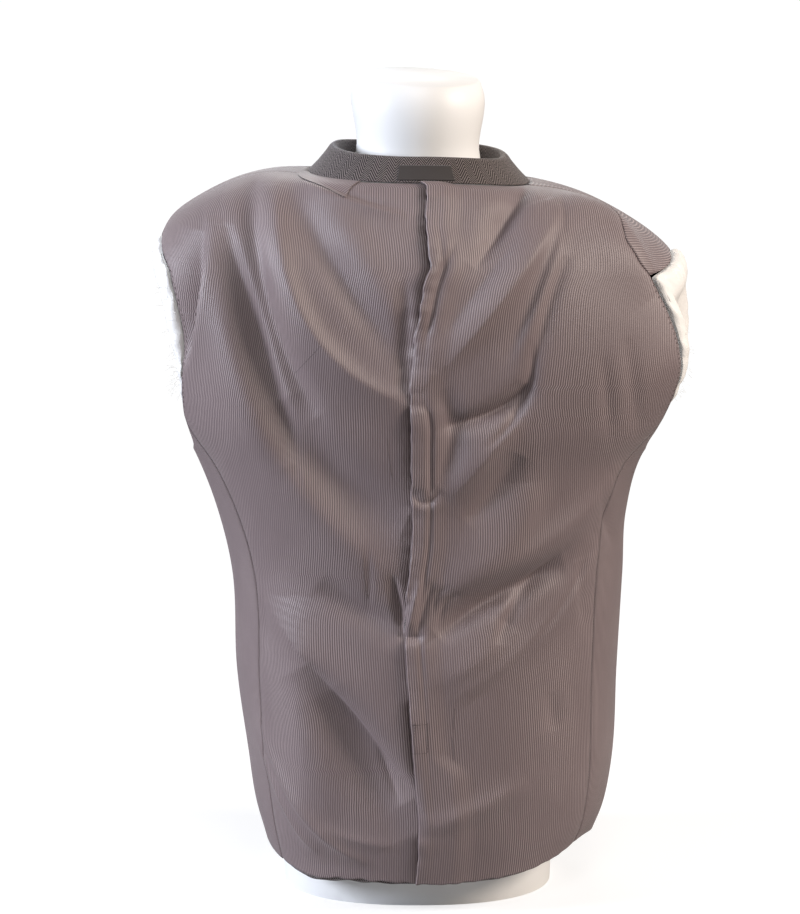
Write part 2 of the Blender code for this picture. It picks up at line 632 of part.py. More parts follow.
# ---------------------------------------------------------------- sleeves
def make_sleeve(side):
    """A sleeve left right side out: its lining shows in the armhole, its tube hangs inside."""
    outline = [
        ((r - ARMHOLE_RISE) / ARMHOLE_HALF, (b - ARMHOLE_BEARING) / ARMHOLE_SPREAD)
        for r, b in armhole_outline(side)
    ]
    outline.append(outline[0])
    face = []
    for k, loop in enumerate(SLEEVE_LOOPS):
        row = []
        for up, across in outline:
            rise = loop.rise + loop.half * up
            reach = reach_at(rise, side * (ARMHOLE_BEARING + loop.spread * across))
            depth = loop.lower + (loop.upper - loop.lower) * (1 + up) / 2
            depth *= PUFF[side] if depth < 0 else 1.0
            folded = fold_height(smooth_place(rise, reach)) * float(eased(1.0 - k / 3))
            direction = outward(rise, reach)
            row.append(smooth_place(rise, reach) + direction * (folded - depth))
        face.append(row)
    face = np.array(face)
    along = np.gradient(face, axis=0)
    ring_points = face[:, :-1]
    across = np.roll(ring_points, -1, axis=1) - np.roll(ring_points, 1, axis=1)
    across = np.concatenate([across, across[:, :1]], axis=1)
    normals = np.cross(across, along) * side
    normals /= np.linalg.norm(normals, axis=2, keepdims=True)
    lining = face + normals * WALL
    name = "sleeve_left" if side > 0 else "sleeve_right"
    return wall(name, [(face.tolist(), lining.tolist())], "sleeve lining")


# ---------------------------------------------------------------- the form
def make_form():
    """A plain torso with a cut neck and a flat base; a loft of rounded sections."""
    heights = [level.z for level in FORM_LEVELS]
    rows = sorted(set(heights) | set(np.linspace(0.03, 0.81, FORM_ROWS).round(3)))
    mesh = bmesh.new()
    bmesh.ops.create_grid(mesh, x_segments=FORM_SIDES, y_segments=len(rows) - 1, size=0.5)
    mesh.verts.ensure_lookup_table()
    for k, vertex in enumerate(mesh.verts):
        row, step = divmod(k, FORM_SIDES + 1)
        turn = 2 * math.pi * (step % FORM_SIDES) / FORM_SIDES
        section = {}
        for name in FormLevel._fields[2:]:
            values = [getattr(level, name) for level in FORM_LEVELS]
            section[name] = float(smooth(rows[row], heights, values))
        power = 2.0 / section["square"]
        c, s = math.cos(turn), math.sin(turn)
        x = math.copysign(section["half_x"] * abs(c) ** power, c)
        y = math.copysign(section["half_y"] * abs(s) ** power, s) + section["middle_y"]
        lean = (rows[row] - FORM_LEAN_FROM) / (FORM_LEAN_FULL - FORM_LEAN_FROM)
        vertex.co = (x, y, rows[row] + FORM_LEAN * x * float(eased(lean)))
    bmesh.ops.remove_doubles(mesh, verts=mesh.verts, dist=1e-6)
    bmesh.ops.holes_fill(mesh, edges=[e for e in mesh.edges if e.is_boundary], sides=0)
    return new_object("form", mesh, "form")


def main():
    for old in list(bpy.data.objects):
        bpy.data.objects.remove(old)
    make_form()
    for side in (1, -1):
        make_back(side)
        make_side(side)
        make_front(side)
        make_facing(side)
        make_sleeve(side)
    make_collar()
    make_label()


main()
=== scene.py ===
# %% [markdown]
# # A sport coat, inside out on a torso form
# The coat is turned so that its ribbed lining is outermost. Its sleeves hang inside through the
# armholes, its wool collar stands with the leaf folded in, and the form carries it all.
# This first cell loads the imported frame, whose solids every piece below follows.

# %% Load the frame
import math
import random
from collections import namedtuple

import bmesh
import bpy
import numpy as np
from mathutils import Matrix, Vector


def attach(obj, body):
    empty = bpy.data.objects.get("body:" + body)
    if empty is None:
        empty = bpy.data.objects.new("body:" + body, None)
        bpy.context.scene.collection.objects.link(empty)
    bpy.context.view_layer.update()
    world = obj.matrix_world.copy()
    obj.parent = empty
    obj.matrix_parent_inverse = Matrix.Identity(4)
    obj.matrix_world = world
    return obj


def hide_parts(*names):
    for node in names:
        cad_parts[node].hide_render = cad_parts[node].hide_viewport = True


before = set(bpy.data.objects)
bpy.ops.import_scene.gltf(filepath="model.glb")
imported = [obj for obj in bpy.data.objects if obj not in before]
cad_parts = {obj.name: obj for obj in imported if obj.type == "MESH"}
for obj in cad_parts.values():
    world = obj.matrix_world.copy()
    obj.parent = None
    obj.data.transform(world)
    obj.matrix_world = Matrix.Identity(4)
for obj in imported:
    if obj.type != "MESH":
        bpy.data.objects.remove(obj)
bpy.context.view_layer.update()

# %% [markdown]
# ## Camera
# The coat is seen from behind and a little above. A long lens far away keeps its outline nearly
# free of perspective, which a short lens nearby would not.

# %% Camera
CAMERA_PLACE = (0.018, 4.40, 1.50)
CAMERA_DOWN = 13.4686  # degrees below level
SENSOR, FOCAL = 36.0, 174.75  # millimetres


def add_object(name, data):
    """A new object in the scene, at the origin."""
    made = bpy.data.objects.new(name, data)
    bpy.context.scene.collection.objects.link(made)
    return made


lens = bpy.data.cameras.new("camera")
lens.sensor_width = SENSOR
lens.lens = FOCAL
camera = add_object("camera", lens)
camera.location = CAMERA_PLACE
camera.rotation_euler = (math.radians(90.0 - CAMERA_DOWN), 0.0, math.radians(180.0))
bpy.context.scene.camera = camera
bpy.context.scene.view_settings.view_transform = "Standard"
print("camera at", CAMERA_PLACE, "with a lens of", FOCAL, "mm")

# %% [markdown]
# ## Light
# Two large soft lamps stand at the sides, a strong cool one on the wearer's left and a warm one on
# the right, so each fold has a cool flank and a warm one. Weaker ones hang above and stand on the
# far side. The world fills the shadows, and looks white to the camera.

# %% Light
Lamp = namedtuple("Lamp", "name place size watts colour")
LAMPS = [
    Lamp("left lamp", (3.0, 0.75, 1.3), 1.1, 133.0, (0.83, 0.88, 1.0)),
    Lamp("right lamp", (-2.75, 0.9, 1.8), 1.1, 93.0, (1.0, 0.88, 0.78)),
    Lamp("top lamp", (-0.3, 2.1, 2.7), 0.9, 22.0, (1.0, 0.985, 0.97)),
    Lamp("front lamp", (0.3, -2.6, 2.0), 1.6, 18.0, (1.0, 0.99, 0.98)),
]
LIT_PLACE = Vector((0.0, 0.0, 0.45))

for lamp in LAMPS:
    light = bpy.data.lights.new(lamp.name, "AREA")
    light.shape = "SQUARE"
    light.size = lamp.size
    light.energy = lamp.watts
    light.color = lamp.colour
    stand = add_object(lamp.name, light)
    stand.location = lamp.place
    away = Vector(lamp.place) - LIT_PLACE
    stand.rotation_euler = away.to_track_quat("Z", "Y").to_euler()
    print(lamp.name, lamp.watts, "W")

# %% [markdown]
# ## Shader arithmetic
# `Value` holds one number socket, and Python's operators on it add Math nodes, which reads better
# than a page of links. `Nodes` adds the nodes, and `Finish` is a material made of them. Colours are
# mixed with Mix nodes, because a Math node turns them grey.

# %% Shader arithmetic
def operator(operation, swapped=False):
    """A method that adds a Math node, for one of Python's operators."""

    def operate(self, other):
        pair = (other, self) if swapped else (self, other)
        return self.math(operation, *pair)

    return operate


class Value:
    """A node tree's number, on which Python's arithmetic can be written."""

    __add__, __radd__ = operator("ADD"), operator("ADD", swapped=True)
    __sub__, __rsub__ = operator("SUBTRACT"), operator("SUBTRACT", swapped=True)
    __mul__, __rmul__ = operator("MULTIPLY"), operator("MULTIPLY", swapped=True)
    __truediv__ = operator("DIVIDE")

    def __init__(self, nodes, socket):
        self.nodes = nodes
        self.socket = socket

    def math(self, operation, *numbers):
        made = self.nodes.node("Math", {"operation": operation}, dict(enumerate(numbers)))
        return Value(self.nodes, made.outputs[0])

    def wave(self, pitch):
        """A sine between 0 and 1 that comes back after each pitch."""
        turns = self * (2.0 * math.pi / pitch)
        return turns.math("SINE", turns) * 0.5 + 0.5

    def part(self):
        """What is left after the whole number."""
        return self.math("FRACT", self)

    def size(self):
        return self.math("ABSOLUTE", self)

    def between(self, low, high):
        """0 at low, 1 at high, and smooth on the way."""
        inputs = {"Value": self, "From Min": low, "From Max": high}
        made = self.nodes.node("MapRange", {"interpolation_type": "SMOOTHSTEP"}, inputs)
        return Value(self.nodes, made.outputs[0])


# %% Nodes and finishes
class Nodes:
    """A node tree, with short ways to add to it."""

    def __init__(self, tree):
        self.tree = tree

    def plug(self, socket, given):
        """Links a node's socket, or sets a number or an opaque colour."""
        if isinstance(given, Value):
            given = given.socket
        if isinstance(given, bpy.types.NodeSocket):
            self.tree.links.new(given, socket)
        elif socket.type == "RGBA":
            socket.default_value = (*given, 1.0)
        else:
            socket.default_value = given

    def node(self, kind, settings=(), inputs=()):
        """Any node: its settings are set first, then its sockets by name or number."""
        made = self.tree.nodes.new("ShaderNode" + kind)
        for name, setting in dict(settings).items():
            setattr(made, name, setting)
        for name, given in dict(inputs).items():
            self.plug(made.inputs[name], given)
        return made


class Finish(Nodes):
    """A material of one Principled shader."""

    def __init__(self, name, **constants):
        self.material = bpy.data.materials.new(name)
        self.material.use_nodes = True
        super().__init__(self.material.node_tree)
        self.shader = self.tree.nodes["Principled BSDF"]
        for socket, number in constants.items():
            self.shader.inputs[socket.replace("_", " ")].default_value = number

    def mix(self, share, first, second):
        """A colour between two others."""
        return self.node("Mix", {"data_type": "RGBA"}, {0: share, 6: first, 7: second}).outputs[2]

    def noise(self, where, scale, detail=2.0, roughness=0.5):
        inputs = {"Vector": where, "Scale": scale, "Detail": detail, "Roughness": roughness}
        return Value(self, self.node("TexNoise", (), inputs).outputs[0])

    def object_place(self):
        return self.node("TexCoord").outputs["Object"]

    def cloth_place(self):
        """The place on the cloth in metres: across, along, and both as one vector."""
        where = self.node("UVMap", {"uv_map": "cloth"}).outputs[0]
        across, along, _ = self.node("SeparateXYZ", (), {0: where}).outputs
        return Value(self, across), Value(self, along), where

    def stretched(self, vector, across, along):
        """A vector scaled by different amounts across and along the cloth."""
        settings = {"operation": "MULTIPLY"}
        return self.node("VectorMath", settings, {0: vector, 1: (across, along, 1.0)}).outputs[0]

    def shows(self, colour, roughness=None, height=None, distance=0.0, strength=1.0):
        """Plugs what the surface shows: its colour, its roughness and its small relief."""
        given = {"Base Color": colour, "Roughness": roughness}
        if height is not None:
            inputs = {"Height": height, "Distance": distance, "Strength": strength}
            given["Normal"] = self.node("Bump", (), inputs).outputs[0]
        for socket, what in given.items():
            if what is not None:
                self.plug(self.shader.inputs[socket], what)
        print(self.material.name, "has", len(self.tree.nodes), "nodes")
        return self.material


# %% [markdown]
# ## Background and floor
# A real studio sweeps white paper behind and under the coat. Here the floor is a large plane that
# keeps the coat's soft shadow and glows to the camera only, up to white away from the coat. The
# world is plain white to the camera, and only a weak fill to everything else.

# %% Background and floor
WORLD_FILL = 0.135
FLOOR_HALF = 30.0
FLOOR_GREY, FLOOR_GLOW = 0.42, 0.67
FLOOR_FADE = (0.45, 1.5)  # metres from the middle, over which the floor turns white


def mesh_data(name, mesh):
    """Mesh data from a bmesh, which is freed."""
    data = bpy.data.meshes.new(name)
    mesh.to_mesh(data)
    mesh.free()
    return data


world = bpy.data.worlds.new("studio")
bpy.context.scene.world = world
world.use_nodes = True
sky = Nodes(world.node_tree)
ray = sky.node("LightPath").outputs
seen = Value(sky, ray["Is Camera Ray"])
for kind in ("Is Glossy Ray", "Is Transmission Ray"):
    seen = seen.math("MAXIMUM", seen, ray[kind])
fill = sky.node("MapRange", (), {"Value": seen, "To Min": WORLD_FILL, "To Max": 1.0})
backdrop = sky.tree.nodes["Background"]
sky.plug(backdrop.inputs["Color"], (1.0, 1.0, 1.0))
sky.plug(backdrop.inputs["Strength"], fill.outputs[0])

floor_mesh = bmesh.new()
bmesh.ops.create_grid(floor_mesh, x_segments=1, y_segments=1, size=FLOOR_HALF)
floor = add_object("floor", mesh_data("floor", floor_mesh))
paper = Finish("floor paper", Roughness=0.9, Specular_IOR_Level=0.1, Emission_Strength=1.0)
middle = paper.node("VectorMath", {"operation": "LENGTH"}, {0: paper.object_place()})
far = Value(paper, middle.outputs["Value"]).between(*FLOOR_FADE)
camera_ray = Value(paper, paper.node("LightPath").outputs["Is Camera Ray"])
glow = camera_ray * (FLOOR_GLOW + far * (1.0 - FLOOR_GLOW))
glow_colour = paper.node("CombineXYZ", (), {0: glow, 1: glow, 2: glow}).outputs[0]
paper.plug(paper.shader.inputs["Emission Color"], glow_colour)
floor.data.materials.append(paper.shows(paper.mix(far, (FLOOR_GREY,) * 3, (0.0,) * 3)))

# %% [markdown]
# ## The coat's surface
# Every panel is cut from one surface, as on a maker's pattern. A place on it has a *rise*, the
# length of cloth above the hem, and a *reach*, the length round the body from the centre back,
# positive towards the wearer's left. Tables of a few named levels give each section, a smooth
# curve joins them, and the whole surface is then tabulated every two millimetres.

# %% Sections of the coat
MM = 0.001
COLLAR_RISE = 0.760


def named_rows(fields, *rows, plain=()):
    """Rows with named fields; lengths are given in millimetres and kept in metres."""
    row_of = namedtuple("Row", fields)
    kept = [field in ("name", *plain) for field in row_of._fields]
    return [row_of(*(at if keep else at / 1000 for at, keep in zip(row, kept))) for row in rows]


LEVELS = named_rows(
    "name rise left_x left_z right_x right_z back_y back_z front_y front_z square",
    ("hem", 0, 158, 54, 182, 50, 140, 36, 138, 40, 2.2),
    ("skirt", 45, 168, 90, 194, 88, 147, 80, 146, 84, 2.2),
    ("hip", 100, 175, 140, 202, 140, 150, 134, 150, 138, 2.2),
    ("seat", 190, 186, 226, 205, 226, 149, 223, 150, 226, 2.2),
    ("waist", 300, 190, 330, 210, 330, 142, 332, 146, 332, 2.2),
    ("ribs", 370, 205, 398, 213, 395, 141, 401, 148, 400, 2.3),
    ("underarm", 430, 226, 455, 229, 455, 143, 460, 150, 458, 2.35),
    ("armhole", 475, 248, 498, 260, 496, 144, 505, 150, 503, 2.4),
    ("chest", 550, 260, 566, 289, 560, 141, 578, 142, 575, 2.4),
    ("blade", 620, 265, 634, 274, 624, 131, 645, 127, 640, 2.35),
    ("shoulder", 665, 257, 680, 252, 664, 117, 685, 110, 676, 2.3),
    ("cap", 695, 236, 706, 218, 691, 104, 708, 100, 698, 2.25),
    ("yoke", 720, 186, 733, 176, 714, 94, 726, 98, 713, 2.2),
    ("nape", 745, 137, 743, 136, 727, 85, 738, 98, 722, 2.1),
    ("collar", 760, 110, 742, 112, 731, 79, 743, 98, 724, 2.0),
    plain=["square"],
)
HEM_WAVE_RISE = 0.07
HEM_BEARINGS = [-230, -180, -135, -90, -65, -49, -33, -16, 0, 24, 43, 66, 90, 135, 180, 230]
HEM_LIFTS = [0, 2, -3, 3, 13, 6, 0, -1, 0, -2, -11, -7, 0, 3, -2, 0]  # millimetres


def column(table, name):
    """One named column of a table of rows."""
    return [getattr(row, name) for row in table]


def smooth(at, keys, values):
    """A smooth curve through (key, value) pairs, read at `at`; it never swings past them."""
    keys, values = np.asarray(keys, float), np.asarray(values, float)
    step = np.diff(keys)
    slope = np.diff(values) / step
    tangent = np.concatenate([[slope[0]], (slope[:-1] + slope[1:]) / 2, [slope[-1]]])
    turning = np.concatenate([[False], slope[:-1] * slope[1:] <= 0, [False]])
    tangent[turning] = 0.0
    at = np.clip(at, keys[0], keys[-1])
    k = np.clip(np.searchsorted(keys, at, side="right") - 1, 0, len(step) - 1)
    t = (at - keys[k]) / step[k]
    ease = t * t * (3 - 2 * t)
    lift = step[k] * (t * (1 - t) ** 2 * tangent[k] - t * t * (1 - t) * tangent[k + 1])
    return values[k] * (1 - ease) + values[k + 1] * ease + lift


def curves(rows, at, keys):
    """Every column of a table, read at places between its rows, which are at the keys."""
    names = [name for name in rows[0]._fields if name != "name"]
    return {name: smooth(at, keys, column(rows, name)) for name in names}


def eased(x):
    """0 below 0, 1 above 1, and smooth between."""
    x = np.clip(x, 0.0, 1.0)
    return x * x * (3 - 2 * x)


def spread(count, end=1.0):
    """A row of even steps from 0 to its end."""
    return np.linspace(0.0, end, count)[None, :]


def between(table, *spot):
    """A table's value between its places, at a row and column that aren't whole."""
    row, place = (np.clip(at, 0, size - 1.001) for at, size in zip(spot, table.shape))
    i, j = row.astype(int), place.astype(int)
    up, on = (row - i)[..., None], (place - j)[..., None]
    low = table[i, j] * (1 - on) + table[i, j + 1] * on
    high = table[i + 1, j] * (1 - on) + table[i + 1, j + 1] * on
    return low * (1 - up) + high * up


print(len(LEVELS), "sections from", LEVELS[0].name, "to", LEVELS[-1].name)

# %% The surface as a table
STEP = 0.002
SPAN = 0.80
BEARINGS = np.arange(-230.0, 230.5, 1.0)
TABLE_RISES = np.arange(0.0, COLLAR_RISE + STEP / 2, STEP)
TABLE_REACHES = np.arange(-SPAN, SPAN + STEP / 2, STEP)


def squared_off(wave, half, power):
    """A sine or cosine of half a width, made into the side of a rounded box."""
    return np.sign(wave) * half * np.abs(wave) ** power


def added_up(steps):
    """The running sum of steps along the last axis, from 0."""
    return np.concatenate([np.zeros_like(steps[..., :1]), np.cumsum(steps, axis=-1)], axis=-1)


def length_along(points):
    """The length of each row of points up to each point."""
    return added_up(np.linalg.norm(np.diff(points, axis=-2), axis=-1))


def unit(vectors):
    return vectors / np.maximum(np.linalg.norm(vectors, axis=-1, keepdims=True), 1e-9)


def section_points():
    """Points of the sections, for every tabled rise and bearing."""
    at = curves(LEVELS, TABLE_RISES[:, None], column(LEVELS, "rise"))
    around = np.radians(BEARINGS)[None, :]
    power = 2.0 / at["square"]
    side, end = np.sin(around), np.cos(around)
    half_x = np.where(side > 0, at["left_x"], at["right_x"])
    side_z = np.where(side > 0, at["left_z"], at["right_z"])
    half_y = np.where(end > 0, at["back_y"], at["front_y"])
    end_z = np.where(end > 0, at["back_z"], at["front_z"])
    wave = smooth(BEARINGS, HEM_BEARINGS, HEM_LIFTS)[None, :] * MM
    fade = np.maximum(0.0, 1.0 - TABLE_RISES / HEM_WAVE_RISE)[:, None] ** 2
    x, y = squared_off(side, half_x, power), squared_off(end, half_y, power)
    return np.stack([x, y, side_z + (end_z - side_z) * end**2 + wave * fade], axis=2)


SECTIONS = section_points()
ROUND = length_along(SECTIONS)
ROUND -= ROUND[:, [len(BEARINGS) // 2]]
SURFACE = np.array(
    [
        [np.interp(TABLE_REACHES, ROUND[k], SECTIONS[k, :, axis]) for axis in range(3)]
        for k in range(len(TABLE_RISES))
    ]
).transpose(0, 2, 1)
OUTWARD = unit(np.cross(np.gradient(SURFACE, axis=0), np.gradient(SURFACE, axis=1)))
print("coat surface tabulated:", SURFACE.shape)


def reach_at(rise, bearing):
    """How far round from the centre back a bearing lies at this rise."""
    rise, bearing = np.broadcast_arrays(np.asarray(rise, float), np.asarray(bearing, float))
    return between(ROUND[:, :, None], rise / STEP, bearing - BEARINGS[0])[..., 0]


def smooth_place(rise, reach):
    return between(SURFACE, rise / STEP, (reach + SPAN) / STEP)


def outward(rise, reach):
    return between(OUTWARD, rise / STEP, (reach + SPAN) / STEP)


# %% [markdown]
# ## Folds
# The coat hangs from a form that is narrower than it, so its back falls in drag lines from the
# shoulders to the centre seam. Each fold is a row of a table: three places that it runs through,
# its height (a trough is negative), how wide it is on the side towards the wearer's left and on
# the other, and how peaked it is. They are uneven, as real ones are. All are in millimetres.

# %% Fold table
Fold = namedtuple("Fold", "face name x1 z1 x2 z2 x3 z3 height left right peak")
FOLDS = []


def add_folds(face, *rows):
    FOLDS.extend(Fold(face, *row) for row in rows)


add_folds(
    "back",
    ("left arm valley", 213, 692, 222, 619, 233, 560, -17, 17, 4, 1.4),
    ("left arm edge", 208, 692, 216, 619, 230, 556, 4.5, 3, 9, 1.4),
    ("left outer ridge", 197, 705, 152, 505, 24, 352, 13, 36, 20, 1.8),
    ("long left trough", 192, 704, 163, 600, 120, 472, -17, 18, 9, 1.7),
    ("left twin trough", 166, 750, 148, 620, 98, 520, -14, 15, 11, 1.8),
    ("left blade hollow", 140, 532, 82, 458, 12, 414, -11, 24, 24, 1.9),
    ("long left ridge", 142, 738, 104, 606, 6, 532, 11, 24, 11, 1.5),
    ("inner left trough", 130, 742, 73, 652, 10, 568, -9, 16, 17, 1.8),
    ("inner left ridge", 108, 742, 62, 692, 22, 612, 2.5, 17, 15, 2.0),
    ("seam hollow above", 14, 656, 12, 598, 15, 543, -4.5, 9, 7, 2.0),
    ("left seam line", 50, 388, 48, 355, 50, 322, -1.3, 4, 4, 1.8),
    ("left waist hollow", 98, 348, 56, 321, 12, 302, -9, 14, 12, 1.8),
    ("left skirt bulge", 126, 330, 113, 190, 100, 50, 10, 26, 28, 1.9),
    ("left skirt valley", 108, 264, 58, 199, 4, 130, -16, 25, 7, 1.3),
    ("left skirt ridge", 160, 336, 84, 236, 14, 148, 5, 12, 30, 1.6),
    ("left skirt trough", 92, 236, 50, 160, 16, 84, -9, 25, 26, 2.0),
    ("left side crease", 155, 332, 153, 300, 151, 268, -2, 4, 5, 1.8),
    ("left hem ridge", 162, 198, 108, 104, 52, 58, 8, 7, 9, 1.3),
    ("left hem crease", 163, 174, 128, 104, 98, 64, 6.5, 6, 7, 1.3),
    ("left hem fall", 96, 96, 60, 82, 26, 78, 2.5, 6, 7, 1.5),
    ("skirt crease", 42, 178, 30, 150, 19, 124, -3, 5, 4, 1.6),
    ("gather pleat", 26, 358, 20, 330, 14, 298, -8, 5, 3.5, 1.5),
    ("gather crease", 21, 299, 4, 295, -14, 300, -3.5, 3, 5, 1.7),
    ("gather wrinkle", -31, 346, -19, 338, -15, 318, -2.2, 3.5, 3, 1.6),
    ("gather ridge", -4, 358, 4, 330, 11, 300, 3.5, 4, 4, 1.6),
    ("gather trough", -14, 352, -7, 328, 2, 299, -5, 4, 6, 1.6),
    ("outer wrinkle", -44, 338, -28, 330, -21, 308, -2, 4, 3, 1.6),
    ("pleat foot", 6, 441, -8, 434, -21, 445, -3, 3, 3.5, 1.6),
    ("pleat side hollow", -22, 548, -34, 500, -20, 450, -5, 9, 12, 2.0),
    ("seam crease", -30, 676, -18, 640, -6, 592, -2.5, 5, 6, 1.8),
    ("seam wrinkle", -36, 690, -26, 668, -13, 650, -2, 4, 5, 1.7),
    ("right nape notch", -108, 736, -90, 713, -56, 666, -11, 14, 8, 1.6),
    ("right nape trough", -101, 701, -67, 658, -26, 604, -5, 16, 8, 1.6),
    ("long right ridge", -141, 717, -86, 640, -20, 565, 8, 20, 9, 1.5),
    ("long right trough", -138, 698, -114, 637, -86, 574, -4, 10, 7, 1.8),
    ("outer right ridge", -145, 702, -121, 640, -97, 580, 3, 6, 7, 1.8),
    ("outer right trough", -147, 675, -128, 627, -111, 563, -4, 7, 7, 1.7),
    ("right blade crease", -114, 586, -104, 533, -70, 493, -6, 6, 3.5, 1.4),
    ("right blade wedge", -108, 552, -80, 527, -26, 510, -13, 8, 9, 1.5),
    ("right blade ridge", -98, 520, -66, 478, -28, 436, 7, 20, 9, 1.7),
    ("right rib trough", -102, 480, -80, 448, -48, 412, -8, 11, 13, 1.8),
    ("right rib ridge", -110, 452, -92, 396, -24, 358, 7, 24, 17, 1.8),
    ("right waist ridge", -197, 446, -120, 384, -20, 341, 7, 14, 16, 1.8),
    ("right waist trough", -148, 360, -78, 333, -20, 296, -15, 16, 10, 1.7),
    ("right crease edge", -146, 386, -98, 338, -74, 290, 1.5, 7, 6, 1.7),
    ("right waist crease", -154, 380, -103, 331, -80, 286, -6, 8, 8, 1.7),
    ("right hip slope", -92, 306, -60, 272, -10, 248, 5, 24, 13, 1.8),
    ("right seat ridge", -182, 388, -131, 300, -25, 230, 5, 13, 10, 1.7),
    ("right seat crease", -180, 392, -133, 305, -50, 227, -3.5, 4, 5, 1.5),
    ("right side pleat", -168, 380, -162, 340, -170, 286, -1.5, 4, 6, 1.8),
    ("right side line", -184, 436, -188, 400, -200, 364, -2, 4, 6, 1.8),
    ("right hem ridge", -112, 142, -58, 116, -6, 98, 4, 11, 12, 1.9),
    ("right hip dent", -135, 232, -136, 210, -137, 190, -2.5, 8, 8, 2.0),
    ("right arm dent", -183, 578, -188, 532, -191, 490, -2, 7, 7, 1.9),
    ("outer arm dent", -207, 594, -214, 540, -221, 486, -2, 8, 8, 1.9),
    ("flap edge", -142, 724, -188, 703, -241, 633, 11, 24, 9, 1.9),
    ("shoulder tuck", 121, 743, 64, 726, 10, 714, 4, 7, 3, 1.3),
    ("shoulder tuck line", 119, 747, 64, 731, 10, 719, -2.5, 3, 3, 1.6),
)
add_folds(
    "front",
    ("front left drag", 205, 600, 160, 490, 92, 420, -8, 16, 12, 1.7),
    ("front left pull", 214, 540, 150, 452, 60, 408, 6, 10, 16, 1.6),
    ("front left waist", 196, 392, 140, 352, 66, 338, -6, 9, 12, 1.7),
    ("front left fall", 152, 318, 116, 200, 104, 84, 8, 15, 22, 1.9),
    ("front left hip", 176, 262, 150, 190, 146, 96, -6, 11, 9, 1.7),
    ("front left chest", 128, 690, 112, 600, 76, 520, -5, 12, 15, 1.8),
    ("front right drag", -214, 590, -158, 478, -84, 398, -9, 14, 16, 1.7),
    ("front right pull", -206, 512, -140, 430, -70, 386, 6, 15, 10, 1.6),
    ("front right waist", -188, 372, -128, 338, -58, 330, -5, 12, 9, 1.7),
    ("front right fall", -160, 244, -146, 160, -122, 60, 7, 22, 14, 1.9),
    ("front right hip", -190, 292, -156, 232, -138, 158, -5, 8, 11, 1.7),
    ("front right chest", -136, 676, -108, 590, -82, 500, -5, 14, 12, 1.8),
)
add_folds(
    "left",
    ("left side drag", -104, 442, -66, 398, -16, 376, -4, 9, 10, 1.7),
    ("left side fall", -62, 306, -54, 200, -60, 92, 5, 12, 15, 1.8),
)
add_folds(
    "right",
    ("right side drag", -98, 424, -60, 388, -22, 372, -4, 10, 9, 1.7),
    ("right side fall", -54, 290, -62, 196, -52, 80, 5, 15, 12, 1.8),
)
FOLD_POINTS = 100
FOLD_ENDS, FOLD_TAPER = 0.02, 0.7
FOLD_LIMIT = 2.6  # widths, past which a fold is nothing
FADE_DEPTH = 0.05
SEAM_FADE, SEAM_FADE_FROM = 0.014, 0.012
COLLAR_SETTLES = 0.02
Face = namedtuple("Face", "across deep sign fade_from")
FACES = {
    "back": Face(0, 1, 1, 0.0),
    "front": Face(0, 1, -1, 0.0),
    "left": Face(1, 0, 1, 0.09),
    "right": Face(1, 0, -1, 0.09),
}
print(len(FOLDS), "folds")


# %% Fold heights
def fold_line(fold):
    """A fold's course as a smooth bend through its three places, in metres."""
    t = spread(FOLD_POINTS).T
    start, middle, end = np.array([fold[2:4], fold[4:6], fold[6:8]]) * MM
    bend = 2 * middle - (start + end) / 2
    line = start * (1 - t) ** 2 + 2 * bend * t * (1 - t) + end * t**2
    return line, unit(np.gradient(line, axis=0))


def fold_height(points):
    """How far the folds lift the cloth at places of the smooth surface."""
    flat = points.reshape(-1, 3)
    total = np.zeros(len(flat))
    for fold in FOLDS:
        face = FACES[fold.face]
        line, run = fold_line(fold)
        wide = FOLD_LIMIT * max(fold.left, fold.right) * MM
        spot = flat[:, [face.across, 2]]
        close = (spot > line.min(0) - wide) & (spot < line.max(0) + wide)
        chosen = np.nonzero(close.all(1) & (flat[:, face.deep] * face.sign > 0))[0]
        apart = spot[chosen, None, :] - line[None]
        squared = (apart**2).sum(2)
        nearest = squared.argmin(1)
        apart = apart[np.arange(len(chosen)), nearest]
        run = run[nearest]
        towards = apart[:, 1] * run[:, 0] - apart[:, 0] * run[:, 1]
        width = np.where(towards > 0, fold.left, fold.right) * MM
        distance = np.sqrt(squared.min(1)) / width
        along = FOLD_ENDS + (1.0 - 2.0 * FOLD_ENDS) * nearest / (FOLD_POINTS - 1)
        taper = np.sin(np.pi * along) ** FOLD_TAPER
        fade = eased((np.abs(flat[chosen, face.deep]) - face.fade_from) / FADE_DEPTH)
        past_seam = np.sign(fold.x2) * flat[chosen, 0] + SEAM_FADE_FROM
        fade = fade * eased(past_seam / SEAM_FADE)
        total[chosen] += MM * fold.height * taper * np.exp(-(distance**fold.peak)) * fade
    return total.reshape(points.shape[:-1])


def place(rise, reach, lift=0.0):
    """Points of the coat with its folds, `lift` above the surface, and the way they face."""
    rise, reach = np.broadcast_arrays(np.asarray(rise, float), np.asarray(reach, float))
    points, facing = smooth_place(rise, reach), outward(rise, reach)
    settled = eased((COLLAR_RISE - rise) / COLLAR_SETTLES)
    height = fold_height(points) * settled + lift
    return points + facing * height[..., None], facing


# %% [markdown]
# ## Finishes
# The lining is a thin twill woven with fine raised ribs about two and a half millimetres apart.
# Satin between the ribs shines a little. Ribs this fine are a finish: they follow the cloth's own
# map, so they bend with every fold, and a texture fixed to the room would not. Their colour has a
# painted highlight on each rib's crest and painted shade in the grooves, stronger in broad patches.

# %% Lining finish
RIB_PITCH, RIB_SWAY = 0.00238, 0.0009
WEFT_PITCH = 0.0011


